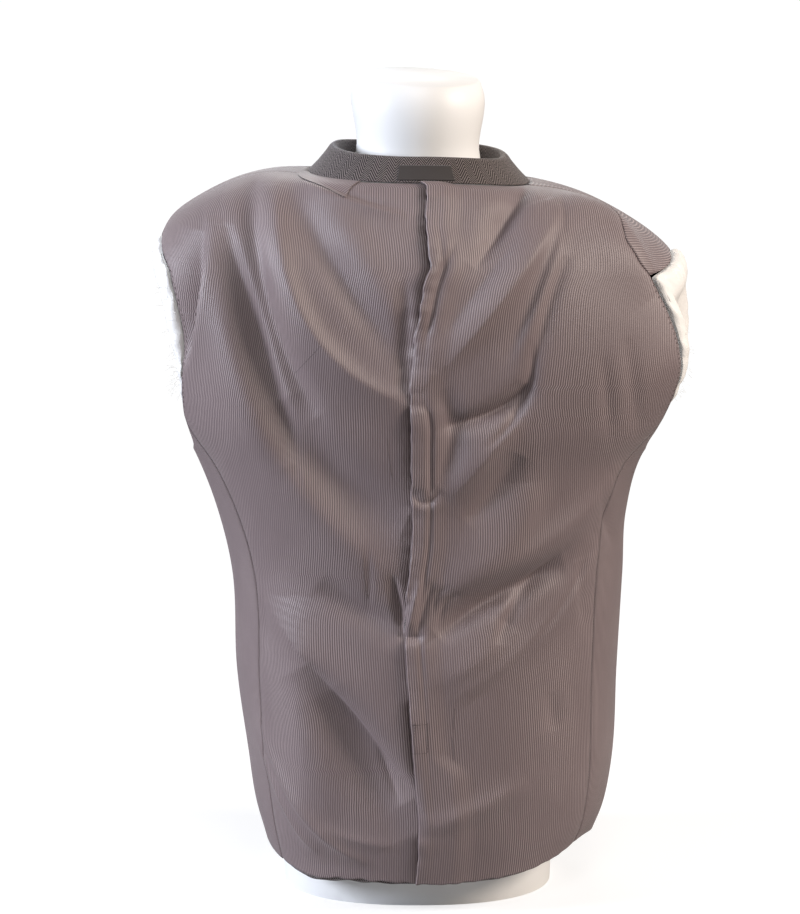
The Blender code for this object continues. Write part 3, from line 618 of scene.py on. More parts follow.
def lining_finish():
    """Ribbed satin lining, with painted highlights on rib crests and painted shade in grooves."""
    finish = Finish("ribbed lining", Specular_IOR_Level=0.42, Sheen_Weight=0.12, Sheen_Roughness=0.4)
    across, along, where = finish.cloth_place()
    sway = finish.noise(finish.stretched(where, 60.0, 9.0), 1.0)
    yarn = finish.noise(finish.stretched(where, 400.0, 60.0), 1.0, 3.0, 0.6)
    cloud = finish.noise(finish.stretched(where, 9.0, 5.0), 1.0, 3.0)
    # Broad patches where the painted rib highlights and groove shade are stronger: painted sheen.
    painted_sheen_patches = finish.noise(finish.stretched(where, 15.0, 9.0), 1.0).between(0.36, 0.62)
    rib = (across + (sway - 0.5) * RIB_SWAY).wave(RIB_PITCH)
    # Masks for painted shade in the grooves between ribs and a painted highlight on each crest.
    groove = 1.0 - rib.between(0.0, 0.62)
    crest_glint_mask = rib.between(0.70, 1.0)
    ground = finish.mix(cloud, (0.166, 0.125, 0.127), (0.192, 0.147, 0.151))
    # Over the cloth's own cloudy tone, crests are painted lighter as highlight, grooves darker as
    # shade.
    light = finish.mix(crest_glint_mask * (0.12 + yarn * 0.46 + painted_sheen_patches * 0.46), ground, (0.43, 0.35, 0.345))
    tone_with_painted_rib_shade = finish.mix(groove * (0.20 + yarn * 0.28 + painted_sheen_patches * 0.30), light, (0.074, 0.052, 0.053))
    relief = rib + along.wave(WEFT_PITCH) * 0.10 + yarn * 0.3
    return finish.shows(tone_with_painted_rib_shade, 0.40 + yarn * 0.16, relief, 0.00030, 0.70)


# %% [markdown]
# The coat's own cloth is charcoal wool in a herringbone: bands of fine diagonals that turn back
# at each band's edge, under a short nap. The diagonals are worked out from the cloth's map, so
# they follow the cut, with noise to soften them.

# %% Wool finish
BAND = 0.0150
TWILL_PITCH = 0.0030
TWILL_SLOPE = 1.3


def wool_finish():
    """Charcoal herringbone wool."""
    nap = {"Sheen_Weight": 0.25, "Sheen_Roughness": 0.5}
    finish = Finish("charcoal herringbone wool", Specular_IOR_Level=0.2, **nap)
    across, along, where = finish.cloth_place()
    turn = ((across / BAND).part() - 0.5).size() * BAND * TWILL_SLOPE
    fuzz = finish.noise(where, 900.0, 3.0, 0.7)
    lines = ((along + turn) / TWILL_PITCH + (fuzz - 0.5) * 0.35).part() - 0.5
    pale = 1.0 - lines.size().between(0.07, 0.28)
    mottle = finish.noise(where, 260.0, 4.0, 0.65)
    ground = finish.mix(mottle, (0.012, 0.009, 0.009), (0.036, 0.028, 0.028))
    colour = finish.mix(pale * (0.38 + mottle * 0.62), ground, (0.33, 0.28, 0.265))
    return finish.shows(colour, 0.82 + fuzz * 0.12, pale * 0.6 + fuzz * 0.8, 0.00025, 0.8)


# %% [markdown]
# The sleeves are lined in plain cream satin with a faint slub, and the form is a smooth shell
# sprayed white, with the faint unevenness of paint. Each needs only a little noise.

# %% Cream satin, form and thread finishes
CORD_PITCH, WARP_PITCH = 0.0008, 0.0006
THREAD_SHADE = 0.7


def satin_finish():
    """Plain cream sleeve lining."""
    finish = Finish("cream satin", Specular_IOR_Level=0.45, Sheen_Weight=0.15)
    _, _, where = finish.cloth_place()
    slub = finish.noise(finish.stretched(where, 900.0, 70.0), 1.0, 3.0, 0.6)
    cloud = finish.noise(where, 28.0, 3.0)
    ground = finish.mix(cloud, (0.80, 0.78, 0.75), (0.90, 0.89, 0.87))
    colour = finish.mix(slub * 0.5, ground, (0.93, 0.92, 0.90))
    return finish.shows(colour, 0.42 + slub * 0.2, slub + cloud * 2.0, 0.0003, 0.5)


def shell_finish():
    """The form's white paint."""
    finish = Finish("white shell", Specular_IOR_Level=0.4)
    where = finish.object_place()
    peel = finish.noise(where, 420.0)
    wear = finish.noise(where, 7.0, 3.0)
    colour = finish.mix(wear, (0.88, 0.88, 0.87), (0.92, 0.92, 0.91))
    return finish.shows(colour, 0.34 + wear * 0.14, peel, 0.0001, 0.25)


def thread_finish(name, colour):
    """Twisted sewing thread."""
    finish = Finish(name, Specular_IOR_Level=0.3, Sheen_Weight=0.2)
    twist = finish.noise(finish.object_place(), 3000.0)
    darker = tuple(part * THREAD_SHADE for part in colour)
    return finish.shows(finish.mix(twist, darker, colour), 0.55 + twist * 0.2)


def patch_finish():
    """Bare woven patch: fine crosswise cords."""
    finish = Finish("woven patch", Specular_IOR_Level=0.3, Sheen_Weight=0.2)
    across, along, where = finish.cloth_place()
    cord = along.wave(CORD_PITCH)
    fuzz = finish.noise(where, 1400.0, 3.0, 0.6)
    ground = finish.mix(fuzz, (0.020, 0.016, 0.015), (0.038, 0.031, 0.029))
    colour = finish.mix(cord * 0.35, ground, (0.070, 0.058, 0.053))
    relief = cord + across.wave(WARP_PITCH) * 0.4 + fuzz
    return finish.shows(colour, 0.60 + fuzz * 0.2, relief, 0.00012, 0.7)


LINING_CLOTH = lining_finish()
WOOL_CLOTH = wool_finish()
SLEEVE_CLOTH = satin_finish()
PATCH_CLOTH = patch_finish()
SHELL = shell_finish()
DARK_THREAD = thread_finish("plum thread", (0.13, 0.10, 0.10))
CREAM_THREAD = thread_finish("cream thread", (0.93, 0.92, 0.90))

# %% [markdown]
# ## Making a piece of cloth
# A piece starts as a flat grid, the cut cloth. Its points then move to their places on the
# coat, and its map keeps each point's place on the flat cut in metres, for the ribs to follow.
# Solidify gives it its thickness inwards, with the wool that it backs as the inner face. Cloth
# simulation would drape it too, but its folds couldn't be put where they belong.

# %% Making a piece of cloth
CLOTH = 0.0016  # lining with the layers behind it
WELD = 1e-6


def changed(data, change):
    """Runs a bmesh change on mesh data."""
    mesh = bmesh.new()
    mesh.from_mesh(data)
    change(mesh)
    mesh.to_mesh(data)
    mesh.free()


def weld(mesh):
    bmesh.ops.remove_doubles(mesh, verts=mesh.verts, dist=WELD)


def tube_closer(rows, columns):
    """A change that joins the last column of a grid to its first one."""

    def close(mesh):
        mesh.verts.ensure_lookup_table()
        starts = range(0, rows * columns, columns)
        pairs = {mesh.verts[start + columns - 1]: mesh.verts[start] for start in starts}
        bmesh.ops.weld_verts(mesh, targetmap=pairs)

    return close


def add_piece(name, data, material):
    """Smooth mesh data of one material as a piece that rides on the part's only body."""
    data.materials.append(material)
    piece = add_object(name, data)
    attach(piece, "root")
    return piece


def grid_piece(name, points, facing, flat, cloth, closed=False):
    """A grid of cloth through `points`, facing the way that `facing` says."""
    rows, columns = points.shape[:2]
    mesh = bmesh.new()
    bmesh.ops.create_grid(mesh, x_segments=columns - 1, y_segments=rows - 1, size=0.5)
    data = mesh_data(name, mesh)
    data.vertices.foreach_set("co", points.astype(np.float32).ravel())
    corners = np.zeros(len(data.loops), np.int32)
    data.loops.foreach_get("vertex_index", corners)
    layer = data.uv_layers.new(name="cloth")
    layer.uv.foreach_set("vector", flat.reshape(-1, 2)[corners].astype(np.float32).ravel())
    data.update()
    normals = np.zeros(len(data.polygons) * 3, np.float32)
    data.polygons.foreach_get("normal", normals)
    starts = corners[column(data.polygons, "loop_start")]
    if (normals.reshape(-1, 3) * facing.reshape(-1, 3)[starts]).sum() < 0:
        data.flip_normals()
    if closed:
        changed(data, tube_closer(rows, columns))
    data.shade_smooth()
    return add_piece(name, data, cloth)


# %% Finishing a piece of cloth
def thicken(piece, thickness, inner, turned_under):
    """Gives cloth its thickness inwards, another cloth inside and, unless turned under, at its rim."""
    solid = piece.modifiers.new("thickness", "SOLIDIFY")
    solid.thickness = thickness
    solid.offset = -1.0
    solid.use_even_offset = False
    if inner is not None:
        piece.data.materials.append(inner)
        solid.material_offset = 1
        solid.material_offset_rim = 0 if turned_under else 1


def mapped(across, along):
    """A piece's map: two measures of each point, in metres."""
    return np.stack(np.broadcast_arrays(across, along), axis=-1)


def cut_size(points):
    """Measures the longest run of a piece's cloth from its first row to its last; it isn't kept."""
    length = float(length_along(points.transpose(1, 0, 2))[:, -1].max())


def panel(
    name, points, facing, flat, cloth, slot, inner=None,
    thickness=CLOTH, node=None, closed=False, turned_under=False,
):
    """A finished panel of cloth. `node` is the one that it stands for in the frame, if any."""
    piece = grid_piece(name, points, facing, flat, cloth, closed)
    thicken(piece, thickness, inner, turned_under)
    if node is not None:
        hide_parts(node)
    cut_size(points)


def lining_panel(node, rises, reach, lift, across=None):
    """A lining panel at its rises and reaches, backed with wool."""
    points, facing = place(rises, reach, lift)
    flat = mapped(length_along(points) if across is None else across(points), rises)
    panel(node + "_cloth", points, facing, flat, LINING_CLOTH, "lining", WOOL_CLOTH, node=node)


# %% [markdown]
# ## Seam lines
# The seams of a jacket's lining: the centre back, the two seams of each side panel, the armhole,
# the shoulder and the facing. Each is a bearing round the body at a few rises, so neighbours that
# share a line fit each other without any trimming.

# %% Seam lines
UNDERARM_RISE = 0.481
SEAM_RISES = [0.000, 0.150, 0.300, 0.420, UNDERARM_RISE, 0.665, 0.720, COLLAR_RISE]
BACK_SEAM = [60.0, 58.0, 57.0, 61.0, 68.0, 68.0, 68.0, 68.0]
FRONT_SEAM = [112.0, 112.0, 113.0, 111.0, 108.0, 108.0, 108.0, 108.0]
FACING_SEAM = [142.0, 141.0, 140.0, 141.0, 141.0, 133.0, 122.0, 112.0]
ARMHOLE_RISE, ARMHOLE_BEARING = 0.550, 88.0
ARMHOLE_HALF, ARMHOLE_SPREAD = 0.115, 25.0
ARMHOLE_FLOOR_DIP = 0.046
ARMHOLE_TOP = 0.665
ARMHOLE_RISES = [UNDERARM_RISE, 0.515, 0.550, 0.590, 0.620, 0.640, ARMHOLE_TOP]
Armhole = namedtuple("Armhole", "back front shoulder_rises shoulder_seam flap")
ARMHOLES = {
    1: Armhole(
        [68.0, 65.0, 63.5, 64.0, 66.5, 70.5, 88.0],
        [108.0, 111.5, 113.0, 112.5, 110.0, 106.0, 88.0],
        [0.665, 0.700, 0.735, 0.752, COLLAR_RISE],
        [88.0, 90.0, 88.0, 80.0, 70.0],
        False,
    ),
    -1: Armhole(
        [68.0, 65.0, 63.0, 61.0, 58.5, 56.0, 54.0],
        [108.0, 111.5, 113.0, 112.5, 110.0, 106.0, 90.0],
        [0.640, 0.655, 0.670, 0.690, 0.713, 0.735, COLLAR_RISE],
        [56.0, 53.5, 53.5, 60.0, 75.0, 86.0, 76.0],
        True,
    ),
}
CENTRE_RISES = [0.000, 0.055, 0.116, 0.200, 0.269, 0.323, 0.365, 0.400, 0.420, 0.470, 0.510]
CENTRE_RISES += [0.567, 0.591, 0.622, 0.647, 0.673, 0.692, 0.717, 0.745, COLLAR_RISE]
CENTRE_REACH = [-0.005, -0.008, -0.004, 0.002, 0.006, 0.003, -0.001, -0.001, 0.000, 0.000, 0.001]
CENTRE_REACH += [-0.003, -0.007, -0.012, -0.018, -0.016, -0.014, -0.015, -0.015, -0.009]
BREAK_RISE = 0.340
FRONT_LAP = 0.015
OPENING_RISES = [0.000, BREAK_RISE, 0.420, 0.500, 0.580, 0.660, 0.720, COLLAR_RISE]
OPENING_REACH = [-FRONT_LAP, -FRONT_LAP, 0.002, 0.018, 0.032, 0.044, 0.050, 0.048]


# %% Places on the seam lines
def centre_back(rise):
    return smooth(rise, CENTRE_RISES, CENTRE_REACH)


def side_seam(rise, seam):
    return smooth(rise, SEAM_RISES, seam)


def back_edge(rise, side):
    """Bearing of the back's outer edge: side seam, armhole, shoulder seam."""
    hole = ARMHOLES[side]
    beside = smooth(rise, ARMHOLE_RISES, hole.back)
    above = smooth(rise, hole.shoulder_rises, hole.shoulder_seam)
    edge = np.where(rise <= hole.shoulder_rises[0], beside, above)
    return np.where(rise <= UNDERARM_RISE, side_seam(rise, BACK_SEAM), edge)


def front_edge(rise, side):
    """Bearing of the front's outer edge: side seam, armhole, then above the armhole."""
    hole = ARMHOLES[side]
    beside = smooth(rise, ARMHOLE_RISES, hole.front)
    above = hole.front[-1] if hole.flap else smooth(rise, hole.shoulder_rises, hole.shoulder_seam)
    edge = np.where(rise <= ARMHOLE_TOP, beside, above)
    return np.where(rise <= UNDERARM_RISE, side_seam(rise, FRONT_SEAM), edge)


def armhole_floor(bearing):
    """Rise of the armhole's lower edge at this bearing."""
    off = (bearing - ARMHOLE_BEARING) / (ARMHOLES[1].front[0] - ARMHOLE_BEARING)
    return UNDERARM_RISE - ARMHOLE_FLOOR_DIP * np.sqrt(np.maximum(0.0, 1.0 - off * off))


def opening(rise, side):
    """Reach of the front edge or, above the break, of the lapel's roll line."""
    half = smooth(rise, OPENING_RISES, OPENING_REACH)
    return side * (np.abs(reach_at(rise, side * 180.0)) - half)


print("armholes", 2.0 * ARMHOLE_HALF, "m high")

# %% [markdown]
# ## The back panels
# The two backs meet at the centre seam. The right one laps over the left, its edge rolled under,
# and above the vent a small box of stitches holds them together. A seam sewn by hand never lies
# still, so a table says how it lies at each height, and uneven waves pucker it between.

# %% How the centre seam lies
# Lift of the right edge, a groove beside it that makes a soft pleat, and a hollow on the left.
Station = namedtuple("Station", "rise raised groove groove_at groove_width hollow pucker")
STATION_ROWS = [
    (0.000, 0.3, 0.0, 14, 5.0, 1.0, 0.3),
    (0.040, 1.9, 0.3, 14, 5.0, 2.0, 0.9),
    (0.060, 0.8, 0.3, 14, 5.0, 0.5, 0.5),
    (0.085, 1.0, 0.3, 14, 5.0, 0.5, 0.3),
    (0.130, 1.9, 0.6, 14, 4.0, 3.0, 0.4),
    (0.185, 2.1, 0.8, 14, 3.0, 4.0, 0.4),
    (0.205, 1.3, 1.0, 14, 3.0, 0.5, 0.6),
    (0.250, 1.0, 1.6, 14, 3.0, 0.8, 0.6),
    (0.269, -1.4, 0.5, 13, 4.0, 0.2, 1.2),
    (0.285, 0.0, 1.0, 13, 3.2, 1.2, 1.3),
    (0.320, 1.3, 2.0, 15, 3.0, 2.0, 1.0),
    (0.365, 1.8, 2.4, 16, 2.8, 1.2, 0.6),
    (0.400, 1.9, 2.4, 17, 2.8, 0.8, 0.6),
    (0.410, -0.2, 1.0, 17, 3.5, 1.0, 1.2),
    (0.421, 2.1, 2.6, 18, 3.0, 1.5, 0.7),
    (0.460, 2.2, 3.0, 18, 3.0, 2.8, 0.4),
    (0.494, 1.9, 2.6, 17, 3.4, 2.5, 0.7),
    (0.505, -1.1, 0.6, 14, 4.0, 0.2, 1.2),
    (0.530, 0.2, 0.4, 12, 4.0, 1.8, 1.0),
    (0.567, -0.8, 0.4, 10, 4.0, 2.2, 1.1),
    (0.590, 1.4, 2.2, 11, 3.4, 2.5, 1.0),
    (0.630, 2.1, 2.2, 12, 3.8, 3.2, 1.0),
    (0.680, 2.2, 1.2, 12, 5.0, 3.2, 1.1),
    (0.712, 0.5, 0.4, 12, 5.0, 2.0, 1.2),
    (0.735, 2.1, 0.4, 12, 5.0, 3.0, 0.9),
    (0.760, 0.3, 0.0, 12, 5.0, 0.2, 0.0),
]
SEAM_STATIONS = [Station(*row) for row in STATION_ROWS]
print(len(SEAM_STATIONS), "places along the seam")


def station(rise, name):
    """The seam's lie at a rise: one column of its table, in metres."""
    return MM * smooth(rise, column(SEAM_STATIONS, "rise"), column(SEAM_STATIONS, name))


def ripples(along, seed, lengths, count=8):
    """An uneven run of small waves, from about -1 to 1, of lengths between two."""
    draw = random.Random(seed)
    total = 0.0
    for _ in range(count):
        length = draw.uniform(*lengths)
        total = total + np.sin(2.0 * np.pi * (along / length + draw.random()))
    return total / math.sqrt(count)


# %% How the two backs lap
FINE, BACK_FINE = 0.0032, 0.0022  # spacing of the cloth grids
SEAM = 0.0001
SEAM_DIP, SEAM_DIP_WIDTH = 0.0005, 0.0030
BACK_WIDTH, BACK_CROWD = 0.28, 0.45
BACK_LAP, BACK_TUCK, VENT_TUCK, VENT_RISE, VENT_SLOPE = 0.006, 0.003, 0.024, 0.130, 0.03
LAP_LIFT, LAP_FROM, LAP_SLOPE = 0.0036, 0.004, 0.024
RAISED_WIDTH, GROOVE_PEAK = 0.016, 1.6
OVER_WAVES, OVER_WAVE_WIDTH = 0.7, 0.011
UNDER_WAVES, UNDER_WAVE_WIDTH, UNDER_WAVE_FROM = 0.6, 0.008, 0.007
HOLLOW_FROM, HOLLOW_WIDTH, HOLLOW_PEAK = 0.006, 0.006, 1.5
HEM_DRAW, HEM_DRAW_HEIGHT, HEM_DRAW_WAVES = 0.0010, 0.008, 0.8
EDGE_TURN = [(0.0009, -0.0006), (0.0012, -0.0016), (0.0004, -0.0024), (-0.0030, -0.0026)]
RISES = spread(round(COLLAR_RISE / FINE) + 1, COLLAR_RISE).T
BACK_RISES = spread(round(COLLAR_RISE / BACK_FINE) + 1, COLLAR_RISE).T
BOTH_SIDES = (1, -1)  # the wearer's left and right


def side_name(piece, side):
    return f"{piece}_left" if side > 0 else f"{piece}_right"


def near_edge(distance):
    """The little valley that a seam's stitches pull beside them."""
    return -SEAM_DIP * np.exp(-((distance / SEAM_DIP_WIDTH) ** 2))


def back_tuck(rise):
    """How far the left back reaches under the right one: wide at the vent."""
    return BACK_TUCK + (VENT_TUCK - BACK_TUCK) * eased((VENT_RISE - rise) / VENT_SLOPE + 0.5)


def over_lift(rise, reach):
    """How high the right back lies where it laps over the left one."""
    past = reach - (centre_back(rise) - back_tuck(rise) - LAP_FROM)
    lift = LAP_LIFT * eased(past / LAP_SLOPE + 1.0)
    off = centre_back(rise) + BACK_LAP - reach
    lift = lift + station(rise, "raised") * np.exp(-((off / RAISED_WIDTH) ** 2))
    groove = (off - station(rise, "groove_at")) / station(rise, "groove_width")
    lift = lift - station(rise, "groove") * np.exp(-(np.abs(groove) ** GROOVE_PEAK))
    waves = OVER_WAVES * station(rise, "pucker") * ripples(rise, seed=5, lengths=(0.012, 0.040))
    return lift + waves * np.exp(-np.maximum(off, 0.0) / OVER_WAVE_WIDTH)


def under_lift(rise, reach):
    """How low the left back lies beside and under the right one's edge."""
    off = reach - centre_back(rise)
    deep = np.exp(-((np.maximum(off - HOLLOW_FROM, 0.0) / HOLLOW_WIDTH) ** HOLLOW_PEAK))
    waves = UNDER_WAVES * station(rise, "pucker") * ripples(rise, seed=7, lengths=(0.014, 0.045))
    waves = waves * np.exp(-np.maximum(off - UNDER_WAVE_FROM, 0.0) / UNDER_WAVE_WIDTH)
    return waves - station(rise, "hollow") * deep


# %% The back panels
def ribs_across(points, reach, rise):
    """The ribs' measure across a back, true to the seam's line a little way from the seam."""
    run = length_along(points)
    steady = reach.shape[1] // 5
    from_seam = np.abs(reach[:, [steady]] - centre_back(rise))
    return run - run[:, [steady]] + from_seam


def hem_waves(rise, reach):
    """The hem's edge drawn up a little between its stitches."""
    drawn = HEM_DRAW * (1.0 + HEM_DRAW_WAVES * ripples(reach, seed=11, lengths=(0.010, 0.034)))
    return np.maximum(drawn, 0.0) * np.exp(-rise / HEM_DRAW_HEIGHT)


def back_panel(side):
    """One back, from the centre seam to the side seam, armhole and shoulder."""
    over = side < 0
    rise = BACK_RISES
    outer = reach_at(rise, side * back_edge(rise, side)) - side * SEAM
    if over:
        waves = ripples(rise, seed=3, lengths=(0.016, 0.060))
        wander = OVER_WAVES * station(rise, "pucker") * waves
        inner = centre_back(rise) + BACK_LAP + wander
    else:
        inner = centre_back(rise) - back_tuck(rise)
    share = spread(round(BACK_WIDTH / BACK_FINE))
    share = share * (BACK_CROWD + (1.0 - BACK_CROWD) * share)
    reach = inner + (outer - inner) * share
    lift = near_edge(outer - reach) + near_edge(COLLAR_RISE - rise)
    if over:
        lift = lift + over_lift(rise, reach)
        turned = [(inner + past, lift[:, :1] + down) for past, down in reversed(EDGE_TURN)]
        reach = np.concatenate([edge for edge, _ in turned] + [reach], axis=1)
        lift = np.concatenate([high for _, high in turned] + [lift], axis=1)
    else:
        lift = lift + under_lift(rise, reach)
    rises = rise + hem_waves(rise, reach)
    lining_panel(side_name("back", side), rises, reach, lift, lambda p: ribs_across(p, reach, rise))


for side in BOTH_SIDES:
    back_panel(side)

# %% [markdown]
# ## Side panels
# A narrow panel runs under each arm from the hem to the armhole's floor. It is laid between the
# two seam lines, so it fills the place that back and front leave.

# %% Side panels
SIDE_WIDTH = 0.16


def laid_between(low, high, share):
    """Reaches between two seam lines, and the dips beside both seams."""
    reach = low + (high - low) * share
    return reach, near_edge(reach - low) + near_edge(high - reach)


def side_panel(side):
    """One side panel, from the hem to the armhole's floor."""
    hole = ARMHOLES[side]
    share = spread(round(SIDE_WIDTH / FINE))
    top = armhole_floor(hole.back[0] + (hole.front[0] - hole.back[0]) * share)
    rises = spread(round(UNDERARM_RISE / FINE)).T * top
    low = reach_at(rises, side * side_seam(rises, BACK_SEAM)) + side * SEAM
    high = reach_at(rises, side * side_seam(rises, FRONT_SEAM)) - side * SEAM
    reach, lift = laid_between(low, high, share)
    lining_panel(side_name("side", side), rises, reach, lift)


for side in BOTH_SIDES:
    side_panel(side)

# %% [markdown]
# ## Front linings
# Each front lining runs from the side seam to the facing. The right one also comes back over the
# shoulder, as a flap that ends at the armhole's top. The flap is a grid of its own, because its
# ribs run another way, with its edge turned under.

# %% Front linings
FRONT_WIDTH = 0.20
FLAP_COLUMNS = 34
FLAP_THICK = 0.0008
FLAP_EDGE_RISE = 0.70
FLAP_BLEND_UP, FLAP_BLEND_ON = 0.35, 0.3


def front_panel(side):
    """One front lining, from the side seam and armhole to the facing."""
    low = reach_at(RISES, side * front_edge(RISES, side)) + side * SEAM
    high = reach_at(RISES, side * side_seam(RISES, FACING_SEAM)) - side * SEAM
    reach, lift = laid_between(low, high, spread(round(FRONT_WIDTH / FINE)))
    rises = np.broadcast_to(RISES, reach.shape)
    lining_panel(side_name("front", side), rises, reach, lift)


def flap_grid(side):
    """The part of the front that comes back over the shoulder, beside the armhole's top."""
    hole = ARMHOLES[side]
    share = spread(FLAP_COLUMNS)
    first = hole.shoulder_rises[0]
    low_rise = first + (ARMHOLE_TOP - first) * share
    low_bearing = hole.shoulder_seam[0] + (hole.front[-1] - hole.shoulder_seam[0]) * share
    low_reach = reach_at(low_rise, side * low_bearing)
    climb = spread(round((COLLAR_RISE - first) / FINE)).T
    rises = low_rise + (COLLAR_RISE - low_rise) * climb
    seam = reach_at(rises, side * back_edge(rises, side)) + side * SEAM
    edge = reach_at(rises, side * front_edge(np.full_like(rises, FLAP_EDGE_RISE), side))
    body = seam + (edge - seam) * share
    blend = (1.0 - eased(climb / FLAP_BLEND_UP)) * eased(share / FLAP_BLEND_ON)
    return rises, low_reach * blend + body * (1 - blend)


for side in BOTH_SIDES:
    front_panel(side)
rises, reach = flap_grid(-1)
points, facing = place(rises, reach)
cut = (points, facing, mapped(rises, reach), LINING_CLOTH, "lining", WOOL_CLOTH)
panel("front_right_flap", *cut, thickness=FLAP_THICK, turned_under=True)

# %% [markdown]
# Beside the collar the left front lining also comes back over the shoulder, as a small corner that
# ends in a short seam and a tuck. It is cut along the front, so its ribs run askew to the back's.

# %% Shoulder corner
CORNER_ROWS, CORNER_COLUMNS = 36, 70
CORNER_LIFT, CORNER_THICK = 0.0009, 0.0006
CORNER_GRAIN = math.radians(38.0)
CORNER_TOP, CORNER_BEARINGS = 0.7596, (31.0, 84.0)
CORNER_FOOT_AT = [0.0, 0.35, 1.0]
CORNER_FOOT_RISES = [0.722, 0.737, 0.752]
CORNER_FOOT_BEARINGS = [21.0, 36.0, 74.0]

share, up = spread(CORNER_COLUMNS), spread(CORNER_ROWS).T
foot_rise = smooth(share, CORNER_FOOT_AT, CORNER_FOOT_RISES)
foot_bearing = smooth(share, CORNER_FOOT_AT, CORNER_FOOT_BEARINGS)
top_bearing = CORNER_BEARINGS[0] + (CORNER_BEARINGS[1] - CORNER_BEARINGS[0]) * share
rises = foot_rise + (CORNER_TOP - foot_rise) * up
reach = reach_at(rises, foot_bearing + (top_bearing - foot_bearing) * up)
points, facing = place(rises, reach, CORNER_LIFT)
grain, askew = math.cos(CORNER_GRAIN), math.sin(CORNER_GRAIN)
flat = mapped(rises * askew + reach * grain, rises * grain - reach * askew)
cut = (points, facing, flat, LINING_CLOTH, "lining", WOOL_CLOTH)
panel("front_left_shoulder", *cut, thickness=CORNER_THICK)

# %% [markdown]
# ## Hem
# The wool is turned up at the hem behind the lining. At the left back it shows below it as a thin
# dark edge. A short profile swept along the hem is enough, since the rest is hidden.

# %% Hem
HEM_BEARING_RANGE = 140.0
HEM_COLUMNS = 520
HEM_THICK, HEM_UNEVEN = 0.0005, 0.3
HEM_SHOWS_AT = [-140, -60, -20, -4, 4, 30, 52, 70, 140]
HEM_SHOWS = [0.3, 0.4, 0.6, 0.2, 1.2, 2.2, 1.6, 0.5, 0.3]  # millimetres below the lining
HEM_PROFILE = named_rows(
    "up lift shown",
    (14, -1.8, 0.0),
    (4, -1.7, 0.0),
    (0, -1.6, 0.6),
    (0, -2, 1.0),
    (0, -3, 1.0),
    (0, -3.6, 0.5),
    (12, -4, 0.0),
    plain=["shown"],
)
HEM_DEPTH = 0.03
HEM_OUTSIDE = 3  # points of the profile that face outwards

bearing = np.linspace(-HEM_BEARING_RANGE, HEM_BEARING_RANGE, HEM_COLUMNS)
reach = reach_at(0.0, bearing)
uneven = 1.0 + HEM_UNEVEN * ripples(reach, seed=13, lengths=(0.02, 0.07))
shows = MM * smooth(bearing, HEM_SHOWS_AT, HEM_SHOWS) * uneven
rows = [place(point.up + 0 * reach, reach, point.lift) for point in HEM_PROFILE]
points, facing = np.stack(rows, axis=1)
points[..., 2] -= np.array(column(HEM_PROFILE, "shown"))[:, None] * shows
facing[HEM_OUTSIDE:] = 0.0
flat = mapped(reach[None, :], spread(len(HEM_PROFILE), HEM_DEPTH).T)
panel("hem_turning", points, facing, flat, WOOL_CLOTH, "wool", thickness=HEM_THICK)

# %% [markdown]
# ## Facings
# The wool facing runs up each front edge. Below the break it turns round the edge; above it the
# whole lapel is folded in, so only its inner side shows at the opening. The turned edge is more
# columns of the same grid, so cloth and fold are one piece, as in a real facing.

# %% Facings
FACING_WIDTH = 0.10
CUTAWAY, CUTAWAY_FROM = 0.060, 0.25
TURN = [(0.0012, 0.0012), (0.0012, 0.0052), (0.0, 0.0064)]
LAPEL_RISES = [0.000, BREAK_RISE - 0.03, 0.480, 0.600, 0.680, COLLAR_RISE]
LAPEL_WIDTHS = [0.006, 0.008, 0.045, 0.066, 0.060, 0.040]
LAPEL_COLUMNS, LAPEL_FIRST = 12, 0.08
FRONT_LAP_LIFT = LAP_LIFT * 2.6
FRONT_LAP_WIDTH, FRONT_LAP_REACH = 0.05, 1.6
FRONT_LAP_TOP, FRONT_LAP_SLOPE = 0.46, 0.06


def facing_panel(side):
    """One facing, with the hem's cutaway, its turned edge and the folded lapel."""
    share = spread(round(FACING_WIDTH / FINE))
    corner = CUTAWAY * np.maximum(0.0, share - CUTAWAY_FROM) ** 2 / (1.0 - CUTAWAY_FROM) ** 2
    rises = corner + (COLLAR_RISE - corner) * RISES / COLLAR_RISE
    edge = opening(rises, side)
    seam = reach_at(rises, side * side_seam(rises, FACING_SEAM)) + side * SEAM
    reach = seam + (edge - seam) * share
    lift = np.zeros_like(reach)
    if side > 0:
        near = np.abs(reach - edge) / FRONT_LAP_WIDTH
        below = eased((FRONT_LAP_TOP - rises) / FRONT_LAP_SLOPE)
        lift = FRONT_LAP_LIFT * eased(FRONT_LAP_REACH - near) * below
    last, last_lift = rises[:, -1:], lift[:, -1:]
    last_edge = opening(last, side)
    width = smooth(last, LAPEL_RISES, LAPEL_WIDTHS)
    behind = [(last_edge + side * past, last_lift - deep) for past, deep in TURN]
    for part in np.linspace(LAPEL_FIRST, 1.0, LAPEL_COLUMNS):
        behind.append((last_edge - side * width * part, last_lift - TURN[-1][1]))
    reach = np.concatenate([reach] + [at for at, _ in behind], axis=1)
    lift = np.concatenate([lift] + [high for _, high in behind], axis=1)
    rises = np.concatenate([rises] + [last] * len(behind), axis=1)
    points, facing = place(rises, reach, lift)
    facing = facing.copy()
    facing[:, -len(behind) :] = 0.0
    flat = mapped(length_along(points), rises)
    node = side_name("facing", side)
    panel(node + "_cloth", points, facing, flat, WOOL_CLOTH, "wool", node=node)


for side in BOTH_SIDES:
    facing_panel(side)

# %% [markdown]
# ## Collar
# The collar's stand shows outside, its fold runs along the top, and its leaf hangs inside against
# the form's neck. One profile through a few named points, swept round the neck, makes all three.

